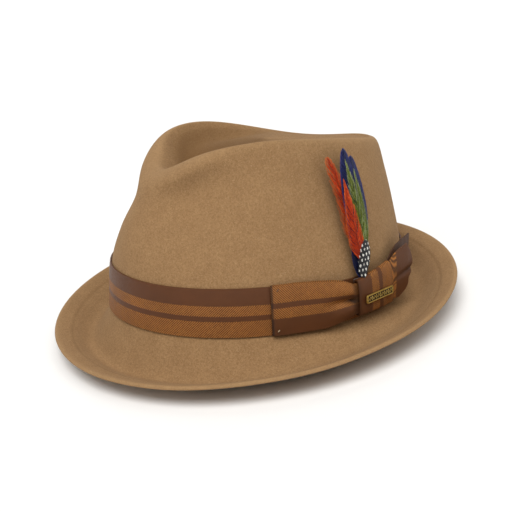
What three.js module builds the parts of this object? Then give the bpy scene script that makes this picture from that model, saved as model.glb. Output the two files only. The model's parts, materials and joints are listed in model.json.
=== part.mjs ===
// Fedora hat: a blocked felt body with a striped ribbon band, a bow with a badge, a bunch of feathers
// that pulls out of the bow, a leather sweatband and a lining. Millimetres, +Z up.
// The hat is drawn level, with its origin in the middle of the line where the crown meets the brim.
// Its front faces -Y and its bow is on +X, the wearer's left. The last lines stand it on its brim.
// An angle t round the hat, in degrees, is 0 at the front, 90 at the bow's side and 180 at the back.
import * as THREE from "three";

// Felt body
const headLength = 206; // outside the felt, where the crown meets the brim
const headWidth = 174;
const feltThickness = 1.8;
const brimWidth = 39.2; // mean of all sides
const brimEdgeHeight = 2.3; // mean height of the edge over the line where crown and brim meet
const brimDip = 10; // how far the brim sags between the crown and its edge
const lipWidth = 10.5; // turned and felted edge
const lipRise = 4.5;
const lipThickness = 2.4;
const crownHeight = 98; // mean height of the ridge round the top
const ridgeLength = 161.6;
const ridgeWidth = 100.3;
const ridgeRound = 4; // how softly the ridge turns over
const pinchDepth = 8.5; // the two finger dents at the front
const pinchAngle = 36;
const moundHeight = 101; // middle of the top, inside the teardrop crease
const creaseDepth = 10;
const standTilt = 6.5; // how far the hat leans back when its brim rests on a table

// Ribbon band and bow
const bandHeight = 30;
const bandThickness = 0.9;
const ribbonThickness = 0.7;
const clearance = 0.4; // between pieces that touch
const innerClearance = 0.7; // between the layers inside the crown
const loopAngle = 69.5; // where the bow's folded end lies
const knotAngle = 100;
const knotSpan = 17.2;
const knotInset = 4; // the gathered knot is this much lower than the band at each edge
const knotDepth = 3.6; // room inside the knot, across the layers it holds
const pocketDepth = 2.6; // room behind the knot for the quills
const backTailAngle = 140; // where its point ends
const backTailRise = 6.5; // how far its point stands above the band
const backTailFlare = 2.2; // how far it swings out from the crown
const frontTailAngle = 134;
const frontTailRise = 1;
const frontTailFlare = 3.6;
const badgeLength = 26;
const badgeHeight = 5.4;
const badgeThickness = 1;
const badgeBorder = 0.7;

// Feather bunch
const featherAngle = 102.3;
const featherReach = 4; // how far the longest tip stands above the mean ridge
const featherThickness = 0.6;
const featherGap = 0.3; // between one vane and the next
const featherCup = 0.012; // how fast the vanes curve in towards the crown at their sides
const quillWidth = 3.4;
const quillThickness = 1.4;
const bindingWidth = 6;
const bindingHeight = 8;

// Inside
const sweatbandHeight = 36;
const sweatbandThickness = 1;
const reedDiameter = 1.6;
const reedTapeThickness = 0.5;
const liningThickness = 0.6;
const liningDrop = 33; // from the mean ridge down to the lining's flat top
const liningInset = 14; // from the crown's wall to the rim of the lining's flat top
const sweatbandBowWidth = 24;
const sweatbandBowHeight = 8;

const columns = 52;
const longestStep = 4; // degrees, along a ribbon
const radians = Math.PI / 180;
const lerp = THREE.MathUtils.lerp;
const smooth = (x) => THREE.MathUtils.smoothstep(x, 0, 1);

// A size that changes round the hat: its mean, then how much more it is at the front than at the
// back, at both ends than at the sides, and in three lobes.
function around(t, mean, front, ends = 0, lobes = 0) {
  const a = t * radians;
  return mean + front * Math.cos(a) + ends * Math.cos(2 * a) + lobes * Math.cos(3 * a);
}

// The head's oval, moved outward and up.
function oval(t, outward, height) {
  const s = Math.sin(t * radians);
  const c = Math.cos(t * radians);
  const normal = new THREE.Vector2(s / headWidth, -c / headLength).normalize();
  const x = (headWidth / 2) * s + normal.x * outward;
  const y = (-headLength / 2) * c + normal.y * outward;
  return new THREE.Vector3(x, y, height);
}

// Upper side of the brim at one angle, from its edge to the crown.
function brimLine(t) {
  const width = around(t, brimWidth, 4.5, -7.8);
  const edge = around(t, brimEdgeHeight, -18.7, -0.6);
  const rise = around(t, lipRise, -1.2, -0.7);
  const run = Math.sqrt(lipWidth ** 2 - rise ** 2);
  const inner = width - run;
  const foot = edge - rise;
  const dip = around(t, -brimDip, -4, 0.2);
  return new THREE.CatmullRomCurve3(
    [
      oval(t, width, edge),
      oval(t, inner, foot),
      oval(t, inner * 0.55, foot * 0.55 + dip),
      oval(t, inner * 0.2, foot * 0.2 + dip * 0.6),
      oval(t, 0, 0),
    ],
    false,
    "catmullrom",
  );
}

// A point of the ridge round the top, and the level direction outward from it.
function ridgeAt(t) {
  const s = Math.sin(t * radians);
  const c = Math.cos(t * radians);
  const half = ridgeWidth / 2;
  const height = around(t, crownHeight, 2.9, -6.6, -5);
  const point = new THREE.Vector3(half * s * (1 + 0.06 * c), 7 - (ridgeLength / 2) * c, height);
  const alongX = half * (c + 0.06 * (c * c - s * s));
  const alongY = (ridgeLength / 2) * s;
  return { point, outward: new THREE.Vector3(alongY, -alongX, 0).normalize() };
}

// Outside of the crown at one angle, from the brim over the ridge and the crease to the middle.
function crownLine(t) {
  const { point: ridge, outward } = ridgeAt(t);
  const round = around(t, ridgeRound, -0.8);
  const foot = oval(t, 0, 0);
  const band = oval(t, -around(t, 3, 0.4), bandHeight);
  const shoulder = ridge.clone().addScaledVector(outward, round * 0.8);
  shoulder.z -= round * 0.8;
  const fromPinch = (side) => THREE.MathUtils.euclideanModulo(t - side * pinchAngle + 180, 360) - 180;
  const dent = (side) => pinchDepth * Math.exp(-((fromPinch(side) / 24) ** 2));
  const pinch = dent(1) + dent(-1);
  const swell = around(t, 1.3, 1.2, 1.5);
  const lower = band.clone().lerp(shoulder, 0.4).addScaledVector(outward, swell - pinch * 0.55);
  const upper = band.clone().lerp(shoulder, 0.75).addScaledVector(outward, swell * 0.75 - pinch);
  const inside = ridge.clone().addScaledVector(outward, -round * 0.9);
  inside.z -= round * 0.9;
  const middle = new THREE.Vector3(0, 7, moundHeight);
  const crease = middle.clone().lerp(ridge, 0.74);
  crease.z = ridge.z - around(t, creaseDepth, 3, -1.5);
  const mound = middle.clone().lerp(ridge, 0.4);
  mound.z = moundHeight - around(t, 2.6, 0.6, 1);
  return new THREE.CatmullRomCurve3(
    [foot, band, lower, upper, shoulder, ridge, inside, crease, mound, middle],
    false,
    "catmullrom",
  );
}

// A point on the crown's wall at a height, moved outward, or inward when outward is negative.
function wall(t, height, outward) {
  const line = crownLine(t);
  let low = 0;
  let high = 4 / 9;
  for (let step = 0; step < 24; step++) {
    const middle = (low + high) / 2;
    if (line.getPoint(middle).z < height) low = middle;
    else high = middle;
  }
  const on = line.getPoint(high);
  const move = oval(t, outward, 0).sub(oval(t, 0, 0));
  return on.add(move).setZ(height);
}

// Closed solid between two faces, each a list of rows of points. A closed face runs right round,
// and a capped one ends in a single point. Faces whose first rows are the same points just meet.
function solid(front, back, { closed = false, capped = false, joined = false } = {}) {
  const points = [];
  const index = [];
  const rows = front.length;
  const width = front[0].length;
  const across = closed ? width : width - 1;
  const place = (face, i, j) => (face * rows + i) * width + (j % width);
  for (const face of [front, back]) {
    for (const row of face) {
      for (let j = 0; j < width; j++) points.push(row[Math.min(j, row.length - 1)]);
    }
  }
  const quad = (a, b, c, d) => index.push(a, b, c, a, c, d);
  for (let i = 0; i + 1 < rows; i++) {
    for (let j = 0; j < across; j++) {
      const face = (f) => [place(f, i, j), place(f, i, j + 1), place(f, i + 1, j + 1), place(f, i + 1, j)];
      const [a, b, c, d] = face(0);
      const [e, f, g, h] = face(1);
      if (capped && i + 2 === rows) {
        index.push(a, b, c, e, g, f);
      } else {
        quad(a, b, c, d);
        quad(e, h, g, f);
      }
    }
    if (!closed) {
      quad(place(0, i, 0), place(0, i + 1, 0), place(1, i + 1, 0), place(1, i, 0));
      const end = width - 1;
      quad(place(0, i, end), place(1, i, end), place(1, i + 1, end), place(0, i + 1, end));
    }
  }
  for (let j = 0; j < across; j++) {
    if (!joined) quad(place(0, 0, j), place(1, 0, j), place(1, 0, j + 1), place(0, 0, j + 1));
    const last = rows - 1;
    if (!capped) quad(place(0, last, j), place(0, last, j + 1), place(1, last, j + 1), place(1, last, j));
  }
  return facingOut(points, index);
}

// Geometry of the points and triangles, turned so that its volume is positive.
function facingOut(points, index) {
  let volume = 0;
  for (let k = 0; k < index.length; k += 3) {
    const [a, b, c] = [points[index[k]], points[index[k + 1]], points[index[k + 2]]];
    volume += a.dot(b.clone().cross(c));
  }
  if (volume < 0) index.reverse();
  const geometry = new THREE.BufferGeometry().setFromPoints(points).setIndex(index);
  geometry.computeVertexNormals();
  return geometry;
}

// The face moved along its own normals, by a distance that may change from row to row.
function moved(face, distance) {
  const width = face[0].length;
  return face.map((row, i) =>
    row.map((point, j) => {
      if (row.length === 1) return point.clone().setZ(point.z + distance(i));
      const next = face[Math.min(i + 1, face.length - 1)];
      const last = face[Math.max(i - 1, 0)];
      const up = next[Math.min(j, next.length - 1)].clone().sub(last[j]);
      const along = row[(j + 1) % width].clone().sub(row[(j + width - 1) % width]);
      return point.clone().addScaledVector(along.cross(up).normalize(), distance(i));
    }),
  );
}

const steps = (count, from, to) => Array.from({ length: count }, (_, k) => lerp(from, to, k / (count - 1)));
const angles = Array.from({ length: columns }, (_, k) => (360 * k) / columns);

// A ring round the hat from its rows of heights and distances from the crown's wall.
function ringFace(rows) {
  return rows.map(([height, outward]) => angles.map((t) => wall(t, height, outward)));
}

// An open ring whose two ends meet at one angle.
function openRing(seam, heights, outward, thickness) {
  const gap = clearance / 2 / (headWidth / 2) / radians;
  const turn = steps(columns + 1, seam + gap, seam + 360 - gap);
  const face = (off) => heights.map((height) => turn.map((t) => wall(t, height, off)));
  return solid(face(outward + thickness), face(outward));
}

const materials = {
  felt: [0xa5825c, 0.95],
  ribbon: [0x6e4527, 0.7],
  leather: [0x6b4a30, 0.6],
  lining: [0x5a4636, 0.5],
  brass: [0xc9a24a, 0.3, 1],
  plastic: [0xd8d2c0, 0.5],
  blueFeather: [0x2a3a86, 0.6],
  greenFeather: [0x5f7f2e, 0.6],
  orangeFeather: [0xc8451a, 0.7],
  spottedFeather: [0x20202a, 0.6],
  darkFeather: [0x161c3c, 0.6],
  quill: [0xcfc3a4, 0.5],
  thread: [0x3c2616, 0.8],
};

const hat = new THREE.Group();

function add(name, geometry, finish) {
  const [color, roughness, metalness = 0] = materials[finish];
  const mesh = new THREE.Mesh(geometry, new THREE.MeshStandardMaterial({ color, roughness, metalness }));
  mesh.name = name;
  hat.add(mesh);
  return mesh;
}

// One felt shell: brim, wall, ridge, crease and middle, with a thicker turned lip.
function feltBody() {
  const brimSteps = 8;
  const lipRows = 2;
  const crownSteps = [0.5, 1, 1.2, 1.5, 2, 2.5, 3, 3.5, 4, 4.5, 5, 5.5, 6, 6.5, 7, 7.5, 8, 8.6];
  const top = [];
  for (let k = 0; k < brimSteps; k++) top.push(angles.map((t) => brimLine(t).getPoint(k / brimSteps)));
  top.push(angles.map((t) => crownLine(t).getPoint(0)));
  for (const u of crownSteps) top.push(angles.map((t) => crownLine(t).getPoint(u / 9)));
  top.push([crownLine(0).getPoint(1)]);
  const under = moved(top, (row) => (row <= lipRows ? -lipThickness : -feltThickness));
  const edge = top[0].map((point, j) => {
    const out = oval(angles[j], lipThickness / 2, 0).sub(oval(angles[j], 0, 0));
    return point.clone().lerp(under[0][j], 0.5).add(out);
  });
  return solid([edge, ...top], [edge, ...under], { closed: true, capped: true, joined: true });
}

const bandOff = clearance;
const overBand = bandOff + bandThickness;
const knotBack = overBand + pocketDepth;
const knotRoom = knotBack + ribbonThickness;
const knotFront = knotRoom + knotDepth + ribbonThickness;
const knotEnd = knotAngle + knotSpan;
const degree = (headWidth / 2) * radians; // length of one degree beside the bow

function hatBand() {
  const seam = knotAngle + knotSpan / 2;
  return openRing(seam, steps(4, 0.6, bandHeight), bandOff, bandThickness);
}

// A ribbon lying on edge along the crown. Its path holds angles and distances from the wall, and
// edges(angle) gives its lower and upper edge. A slanted end shortens each level of the path to
// endAngle(angle, level), and flare(angle) then moves it outward.
function ribbon(corners, edges, endAngle = (t) => t, flare = () => 0) {
  const levels = steps(5, 0, 1);
  const path = corners.flatMap(([t, off], k) => {
    const [nextT, nextOff] = corners[k + 1] ?? [t, off];
    const pieces = Math.max(1, Math.round(Math.abs(nextT - t) / longestStep));
    return steps(pieces + 1, 0, 1).slice(0, pieces).map((f) => [lerp(t, nextT, f), lerp(off, nextOff, f)]);
  });
  const side = (sign) =>
    path.map(([t, off], k) => {
      const [t0, off0] = path[Math.max(k - 1, 0)];
      const [t1, off1] = path[Math.min(k + 1, path.length - 1)];
      const along = new THREE.Vector2((t1 - t0) * degree, off1 - off0).normalize();
      const half = (sign * ribbonThickness) / 2;
      return levels.map((level) => {
        const angle = endAngle(t, level);
        const [low, high] = edges(angle);
        const height = lerp(low, high, level);
        return wall(angle - (along.y * half) / degree, height, off + flare(angle) + along.x * half);
      });
    });
  return solid(side(1), side(-1));
}

// The bow's flat loop: up to the knot, round a fold at its free end and back.
function bowLoop() {
  const near = overBand + clearance + ribbonThickness / 2;
  const far = near + ribbonThickness + clearance + 0.1;
  const inner = knotRoom + clearance + ribbonThickness / 2;
  const outer = inner + ribbonThickness + clearance + 0.1;
  const end = knotAngle + knotSpan * 0.45;
  const mouth = knotAngle - 1;
  const back = [
    [end, inner],
    [mouth, inner],
    [lerp(loopAngle, mouth, 0.86), lerp(near, inner, 0.7)],
    [lerp(loopAngle, mouth, 0.7), lerp(near, inner, 0.25)],
    [lerp(loopAngle, mouth, 0.4), near],
    [loopAngle + 0.8, near],
  ];
  const fold = [
    [loopAngle + 0.15, lerp(near, far, 0.25)],
    [loopAngle + 0.15, lerp(near, far, 0.75)],
  ];
  const front = [
    [loopAngle + 0.8, far],
    [lerp(loopAngle, mouth, 0.4), far + 0.2],
    [lerp(loopAngle, mouth, 0.7), lerp(far, outer, 0.6)],
    [lerp(loopAngle, mouth, 0.86), outer + 0.3],
    [mouth, outer],
    [end, outer],
  ];
  const edges = (t) => {
    const gatherStart = lerp(loopAngle, mouth, 0.6);
    const gather = smooth((t - gatherStart) / (mouth - gatherStart));
    return [lerp(1, knotInset + 1.6, gather), lerp(bandHeight + 1, bandHeight - knotInset - 1.8, gather)];
  };
  return ribbon([...back, ...fold, ...front], edges);
}

// The ribbon wrapped round the middle of the bow: a flat tube, wider towards the tails.
function bowKnot() {
  const corner = 1.6;
  const section = (t, inset) => {
    const open = (t - knotAngle) / knotSpan;
    const low = knotInset + inset;
    const high = lerp(bandHeight - knotInset, bandHeight, smooth(open)) - inset;
    const back = knotBack + inset;
    const front = knotFront - inset;
    const round = corner - inset;
    const corners = [
      [low + round, back + round, 180, 270],
      [low + round, front - round, 90, 180],
      [high - round, front - round, 0, 90],
      [high - round, back + round, -90, 0],
    ];
    return corners.flatMap(([h, off, from, to]) =>
      steps(4, to, from).map((a) => [h + round * Math.cos(a * radians), off + round * Math.sin(a * radians)]),
    );
  };
  const face = (inset) =>
    steps(6, knotAngle, knotEnd).map((t) => section(t, inset).map(([h, off]) => wall(t, h, off)));
  return solid(face(0), face(ribbonThickness), { closed: true });
}

// A cut ribbon end that flares out of the knot, longest at its upper corner.
function bowTail(layer, tip, rise, swing) {
  const start = knotAngle + knotSpan * 0.55;
  const off = knotRoom + clearance + ribbonThickness / 2 + layer * (ribbonThickness + clearance + 0.1);
  const lowEnd = tip - 12.5;
  const path = steps(9, start, tip).map((t) => [t, off]);
  const edges = (t) => {
    const open = smooth((t - knotEnd + 2) / 9);
    const climb = Math.max(0, (t - knotEnd) / (tip - knotEnd));
    return [lerp(knotInset + 2, 2.2, open), lerp(bandHeight - 3.4, bandHeight + 1 + rise * climb, open)];
  };
  const endAngle = (t, level) => lerp(start, lerp(lowEnd, tip, level ** 0.4), (t - start) / (tip - start));
  return ribbon(path, edges, endAngle, (t) => swing * smooth((t - knotEnd) / (tip - knotEnd)));
}

// Flat bar with a raised border, and rounded corners.
function badge() {
  const outline = (length, height, round) => {
    const shape = new THREE.Shape();
    const [x, y] = [length / 2, height / 2];
    shape.moveTo(-x + round, -y).lineTo(x - round, -y);
    shape.absarc(x - round, -y + round, round, -Math.PI / 2, 0);
    shape.absarc(x - round, y - round, round, 0, Math.PI / 2);
    shape.absarc(-x + round, y - round, round, Math.PI / 2, Math.PI);
    shape.absarc(-x + round, -y + round, round, Math.PI, Math.PI * 1.5);
    return shape.getPoints(3);
  };
  const loop = (inset, height) =>
    outline(badgeLength - 2 * inset, badgeHeight - 2 * inset, 1.2 - inset)
      .slice(0, -1)
      .map((p) => new THREE.Vector3(p.x, p.y, height));
  const top = badgeThickness;
  const floor = badgeThickness * 0.6;
  const front = [loop(0, 0), loop(0, top), loop(badgeBorder, top), loop(badgeBorder, floor)];
  const middle = new THREE.Vector3(0, 0, floor);
  const under = [loop(0, 0), ...[0.25, 0.5, 0.75].map((f) => loop(0, 0).map((p) => p.multiplyScalar(1 - f)))];
  return solid([...front, [middle]], [...under, [new THREE.Vector3(0, 0, 0)]], {
    closed: true,
    capped: true,
    joined: true,
  });
}

// The bunch's centre line, from the pocket behind the knot up beside the crown.
const pocketMiddle = overBand + pocketDepth / 2;
const bunchLine = new THREE.CatmullRomCurve3([
  wall(featherAngle, bandHeight, pocketMiddle + 1),
  wall(featherAngle - 0.4, crownHeight * 0.62, 8),
  new THREE.Vector3(ridgeWidth / 2 + 11, wall(featherAngle, bandHeight, 0).y, crownHeight + featherReach),
]);
const bunchAcross = wall(featherAngle + 1, 0, 0).sub(wall(featherAngle - 1, 0, 0)).normalize();
const bunchOut = new THREE.Vector3(bunchAcross.y, -bunchAcross.x, 0);

// One vane: from and to are shares of the bunch's length, lean its sideways shift at each end.
function feather({ from, to, halfWidth, lean, layer, widest = 0.55 }) {
  const rows = steps(12, 0, 1);
  const pitch = featherThickness + featherGap;
  const face = (lift) =>
    rows.map((f) => {
      const centre = bunchLine.getPoint(lerp(from, to, f));
      const past = (f - widest) / (1 - widest);
      const swell = f < widest ? Math.sin(((f / widest) * Math.PI) / 2) : Math.cos((past * Math.PI) / 2);
      const half = 0.5 + (halfWidth - 0.5) * swell ** 0.8;
      return steps(5, -1, 1).map((x) => {
        const aside = lerp(lean[0], lean[1], f) + x * half;
        const out = layer * pitch + lift - featherCup * aside * aside;
        return centre.clone().addScaledVector(bunchAcross, aside).addScaledVector(bunchOut, out);
      });
    });
  return solid(face(featherThickness), face(0));
}

// A flattened stem in the pocket, between two heights.
function stem(width, thickness, low, high) {
  const face = (sign) =>
    steps(3, low, high).map((height) =>
      steps(7, -1, 1).map((x) => {
        const depth = (sign * thickness * Math.sqrt(1 - 0.8 * x * x)) / 2;
        return wall(featherAngle, height, pocketMiddle + depth).addScaledVector(bunchAcross, (x * width) / 2);
      }),
    );
  return solid(face(1), face(-1));
}

// Leather strip inside the crown, its ends meeting at the back.
const behindLeather = feltThickness + liningThickness + 2 * innerClearance;
const leatherFace = behindLeather + sweatbandThickness;

function sweatband() {
  const heights = steps(4, reedDiameter + 2 * reedTapeThickness + clearance, sweatbandHeight);
  return openRing(180, heights, -leatherFace, sweatbandThickness);
}

// The reed runs in a folded tape at the foot of the sweatband.
const reedMiddle = -(feltThickness + clearance + reedTapeThickness + clearance + reedDiameter / 2);
const reedHeight = reedTapeThickness + clearance + reedDiameter / 2;

// A closed ring of a small section, whose points are a height and a distance from the wall.
function hoop(section) {
  const rows = angles.map((t) => section.map(([height, off]) => wall(t, height, off)));
  const points = rows.flat();
  const index = [];
  const n = section.length;
  rows.forEach((row, i) => {
    row.forEach((_, j) => {
      const k = (i + 1) % rows.length;
      const [a, b] = [i * n + j, i * n + ((j + 1) % n)];
      const [c, d] = [k * n + ((j + 1) % n), k * n + j];
      index.push(a, b, c, a, c, d);
    });
  });
  return facingOut(points, index);
}

function sweatbandReed() {
  const section = steps(7, 0, 360)
    .slice(0, 6)
    .map((a) => [
      reedHeight + (reedDiameter / 2) * Math.sin(a * radians),
      reedMiddle + (reedDiameter / 2) * Math.cos(a * radians),
    ]);
  return hoop(section);
}

// U-shaped tape, open at its top.
function reedTape() {
  const inner = reedDiameter / 2 + clearance;
  const outer = inner + reedTapeThickness;
  const top = reedHeight + reedDiameter / 2;
  const bottom = reedHeight - inner;
  return hoop([
    [top, reedMiddle - outer],
    [top, reedMiddle - inner],
    [bottom, reedMiddle - inner],
    [bottom, reedMiddle + inner],
    [top, reedMiddle + inner],
    [top, reedMiddle + outer],
    [bottom - reedTapeThickness, reedMiddle + outer],
    [bottom - reedTapeThickness, reedMiddle - outer],
  ]);
}

// Small flat bow over the sweatband's rear join.
function sweatbandBow() {
  const half = sweatbandBowWidth / 2;
  const middle = sweatbandHeight * 0.3;
  const face = (off) =>
    steps(9, -1, 1).map((x) => {
      const tall = (sweatbandBowHeight / 2) * (0.3 + 0.7 * smooth(Math.abs(x) * 1.6));
      const t = 180 + (x * half) / (headLength / 2) / radians * (headLength / headWidth);
      return steps(3, middle - tall, middle + tall).map((height) => wall(t, height, off));
    });
  const gap = -leatherFace - clearance;
  return solid(face(gap), face(gap - ribbonThickness));
}

const liningTop = crownHeight - liningDrop;

// Cloth side of the lining: tucked behind the sweatband, then drawn in to the flat top.
function liningSide() {
  const off = -(feltThickness + innerClearance);
  const rows = [
    [sweatbandHeight * 0.25, off],
    [sweatbandHeight * 0.6, off],
    [sweatbandHeight, off],
    [lerp(sweatbandHeight, liningTop, 0.15), off - liningInset * 0.1],
    [lerp(sweatbandHeight, liningTop, 0.4), off - liningInset * 0.26],
    [lerp(sweatbandHeight, liningTop, 0.75), off - liningInset * 0.5],
    [liningTop, clearance - liningInset + liningThickness],
  ];
  const under = rows.map(([height, out]) => [height, out - liningThickness]);
  return solid(ringFace(rows), ringFace(under), { closed: true });
}

// Flat top of the lining.
function liningTip() {
  const centre = new THREE.Vector3(0, 4, 0);
  const face = (height) => [
    ...[1, 0.6, 0.25].map((share) =>
      angles.map((t) => centre.clone().lerp(wall(t, liningTop, -liningInset), share).setZ(height)),
    ),
    [centre.clone().setZ(height)],
  ];
  return solid(face(liningTop + liningThickness), face(liningTop), { closed: true, capped: true });
}

// A short stitch lying on the ribbon.
function stitch(t, height, off) {
  const length = 1.6;
  const mesh = new THREE.CapsuleGeometry(0.3, length, 2, 6);
  const at = wall(t, height, off + 0.3 + clearance);
  return mesh.rotateX(40 * radians).translate(at.x, at.y, at.z);
}

add("felt_body", feltBody(), "felt");
add("hat_band", hatBand(), "ribbon");
add("bow_loop", bowLoop(), "ribbon");
add("bow_knot", bowKnot(), "ribbon");
add("bow_tail_front", bowTail(1, frontTailAngle, frontTailRise, frontTailFlare), "ribbon");
add("bow_tail_back", bowTail(0, backTailAngle, backTailRise, backTailFlare), "ribbon");

const loopFront = overBand + 2 * (clearance + ribbonThickness) + 0.1;
add("tack_stitch_upper", stitch(loopAngle + 2.2, bandHeight - 1.4, loopFront), "thread");
add("tack_stitch_lower", stitch(loopAngle + 4, 3.5, loopFront), "thread");

const badgeAngle = knotAngle + knotSpan * 0.58;
const plate = add("badge", badge(), "brass");
plate.position.copy(wall(badgeAngle, bandHeight * 0.47, knotFront + clearance));
const badgeOut = oval(badgeAngle, 1, 0).sub(oval(badgeAngle, 0, 0));
const badgeRight = new THREE.Vector3(-badgeOut.y, badgeOut.x, 0);
plate.quaternion.setFromRotationMatrix(
  new THREE.Matrix4().makeBasis(badgeRight, new THREE.Vector3(0, 0, 1), badgeOut),
);

const vanes = [
  ["feather_blue", { from: 0.06, to: 1, halfWidth: 9.5, lean: [2, 5.5], layer: 0 }, "blueFeather"],
  ["feather_dark", { from: 0.02, to: 0.42, halfWidth: 4.2, lean: [0.5, -2.5], layer: 1 }, "darkFeather"],
  ["feather_green", { from: 0.2, to: 0.93, halfWidth: 4.5, lean: [6.5, 4.5], layer: 2 }, "greenFeather"],
  ["feather_orange", { from: 0.12, to: 0.95, halfWidth: 4, lean: [3.5, -8.5], layer: 3 }, "orangeFeather"],
  ["feather_spotted", { from: 0.01, to: 0.25, halfWidth: 5, lean: [0.5, 3], layer: 4 }, "spottedFeather"],
];
for (const [name, vane, finish] of vanes) add(name, feather(vane), finish);

const bindingTop = bandHeight - 1;
const bindingFoot = bindingTop - bindingHeight;
add("feather_binding", stem(bindingWidth, pocketDepth - 2 * clearance, bindingFoot, bindingTop), "thread");
add("feather_quill", stem(quillWidth, quillThickness, knotInset + 3, bindingFoot - clearance), "quill");

add("sweatband", sweatband(), "leather");
add("sweatband_reed", sweatbandReed(), "plastic");
add("reed_tape", reedTape(), "ribbon");
add("sweatband_bow", sweatbandBow(), "ribbon");
add("lining_side", liningSide(), "lining");
add("lining_tip", liningTip(), "lining");

// Stand the hat on its brim, with its box centred on the origin.
hat.rotation.x = -standTilt * radians;
const standing = new THREE.Group().add(hat);
const box = new THREE.Box3().setFromObject(standing, true);
const centre = box.getCenter(new THREE.Vector3());
hat.position.set(-centre.x, -centre.y, -box.min.z);

export default standing;
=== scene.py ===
import json
import math

import bpy
import numpy as np
from mathutils import Matrix


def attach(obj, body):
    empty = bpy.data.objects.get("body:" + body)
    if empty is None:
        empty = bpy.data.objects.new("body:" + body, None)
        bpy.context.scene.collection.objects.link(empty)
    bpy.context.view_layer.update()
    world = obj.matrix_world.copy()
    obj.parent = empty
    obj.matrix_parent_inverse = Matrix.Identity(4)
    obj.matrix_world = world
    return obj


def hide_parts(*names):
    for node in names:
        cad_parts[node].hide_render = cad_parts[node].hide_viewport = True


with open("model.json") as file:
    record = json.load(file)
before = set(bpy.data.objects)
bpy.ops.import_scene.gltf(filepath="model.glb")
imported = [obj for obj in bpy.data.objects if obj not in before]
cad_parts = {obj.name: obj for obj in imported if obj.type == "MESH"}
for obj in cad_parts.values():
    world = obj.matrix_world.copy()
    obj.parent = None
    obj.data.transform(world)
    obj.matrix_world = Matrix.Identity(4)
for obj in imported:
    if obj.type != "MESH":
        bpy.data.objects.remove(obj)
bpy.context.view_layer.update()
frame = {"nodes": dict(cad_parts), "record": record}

# The hat is worked out level, in millimetres, with its origin in the middle of the line where the crown
# meets the brim, its front on -Y and its bow on +X. An angle t round it, in degrees, is 0 at the
# front, 90 at the bow's side and 180 at the back. toRow() stands it on the floor as the frame does.
hatShape = {
    "headLength": 206,
    "headWidth": 174,
    "feltThickness": 1.8,
    "brimWidth": 39.2,
    "brimEdgeHeight": 2.3,
    "brimDip": 10,
    "lipWidth": 10.5,
    "lipRise": 4.5,
    "crownHeight": 98,
    "ridgeLength": 161.6,
    "ridgeWidth": 100.3,
    "ridgeRound": 4,
    "pinchDepth": 8.5,
    "pinchAngle": 36,
    "moundHeight": 101,
    "creaseDepth": 10,
    "frontSoftUntil": 65,
    "creaseUntil": 72,
    "frontRound": 11,
    "frontLift": 1.5,
    "rearRound": 2,
    "rearLift": 0.6,
    "bowSideLift": 7,
}

opening = next(m for m in frame["record"]["mounts"] if m["name"] == "head_opening")
rowOrigin = np.array(opening["pos_m"])
rowUp = -np.array(opening["axis"])
rowUp /= np.linalg.norm(rowUp)
rowAcross = np.array([1.0, 0.0, 0.0])
rowBasis = np.stack([rowAcross, np.cross(rowUp, rowAcross), rowUp])


def toRow(points):
    # the hat's level millimetres to metres in the frame
    return rowOrigin + np.asarray(points) / 1000 @ rowBasis


def lerp(a, b, f):
    return a + (b - a) * f


def smooth(x):
    x = np.clip(x, 0, 1)
    return x * x * (3 - 2 * x)


def bell(x, middle, width):
    return np.exp(-(((x - middle) / width) ** 2))


def vector(*parts):
    return np.stack(np.broadcast_arrays(*parts), -1).astype(float)


def unit(v):
    return v / np.linalg.norm(v, axis=-1, keepdims=True)


def around(t, mean, front, ends=0, lobes=0):
    # a size that changes round the hat: mean + front cos t + ends cos 2t + lobes cos 3t
    a = np.radians(t)
    return mean + front * np.cos(a) + ends * np.cos(2 * a) + lobes * np.cos(3 * a)


def oval(t, outward, height):
    # the head's ellipse, moved along its normal and up
    s, c = np.sin(np.radians(t)), np.cos(np.radians(t))
    nx, ny = s / hatShape["headWidth"], -c / hatShape["headLength"]
    n = np.hypot(nx, ny)
    x = hatShape["headWidth"] / 2 * s + nx / n * outward
    y = -hatShape["headLength"] / 2 * c + ny / n * outward
    return vector(x, y, height)


def smoothThrough(controls, u):
    # uniform Catmull-Rom curves: controls (points, columns, 3), u (rows, columns) from 0 to 1
    controls = np.stack(np.broadcast_arrays(*controls))
    first, last = 2 * controls[0] - controls[1], 2 * controls[-1] - controls[-2]
    whole = np.concatenate([first[None], controls, last[None]])
    u = np.broadcast_to(u, (len(u), controls.shape[1]))
    s = u * (len(controls) - 1)
    i = np.clip(np.floor(s).astype(int), 0, len(controls) - 2)
    f = (s - i)[..., None]
    j = np.arange(controls.shape[1])[None]
    a, b, c, d = (whole[i + k, j] for k in range(4))
    return 0.5 * (2 * b + (c - a) * f + (2 * a - 5 * b + 4 * c - d) * f**2 + (3 * b - a - 3 * c + d) * f**3)


def brimLine(t, u):
    # upper side of the brim, u from 0 at its edge to 1 at the crown
    width = around(t, hatShape["brimWidth"], 4.5, -7.8)
    edge = around(t, hatShape["brimEdgeHeight"], -18.7, -0.6)
    rise = around(t, hatShape["lipRise"], -1.2, -0.7)
    inner = width - np.sqrt(hatShape["lipWidth"] ** 2 - rise**2)
    foot = edge - rise
    dip = around(t, -hatShape["brimDip"], -4, 0.2)
    controls = [
        oval(t, width, edge),
        oval(t, inner, foot),
        oval(t, inner * 0.55, foot * 0.55 + dip),
        oval(t, inner * 0.2, foot * 0.2 + dip * 0.6),
        oval(t, 0, 0),
    ]
    return smoothThrough(controls, u)


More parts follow.
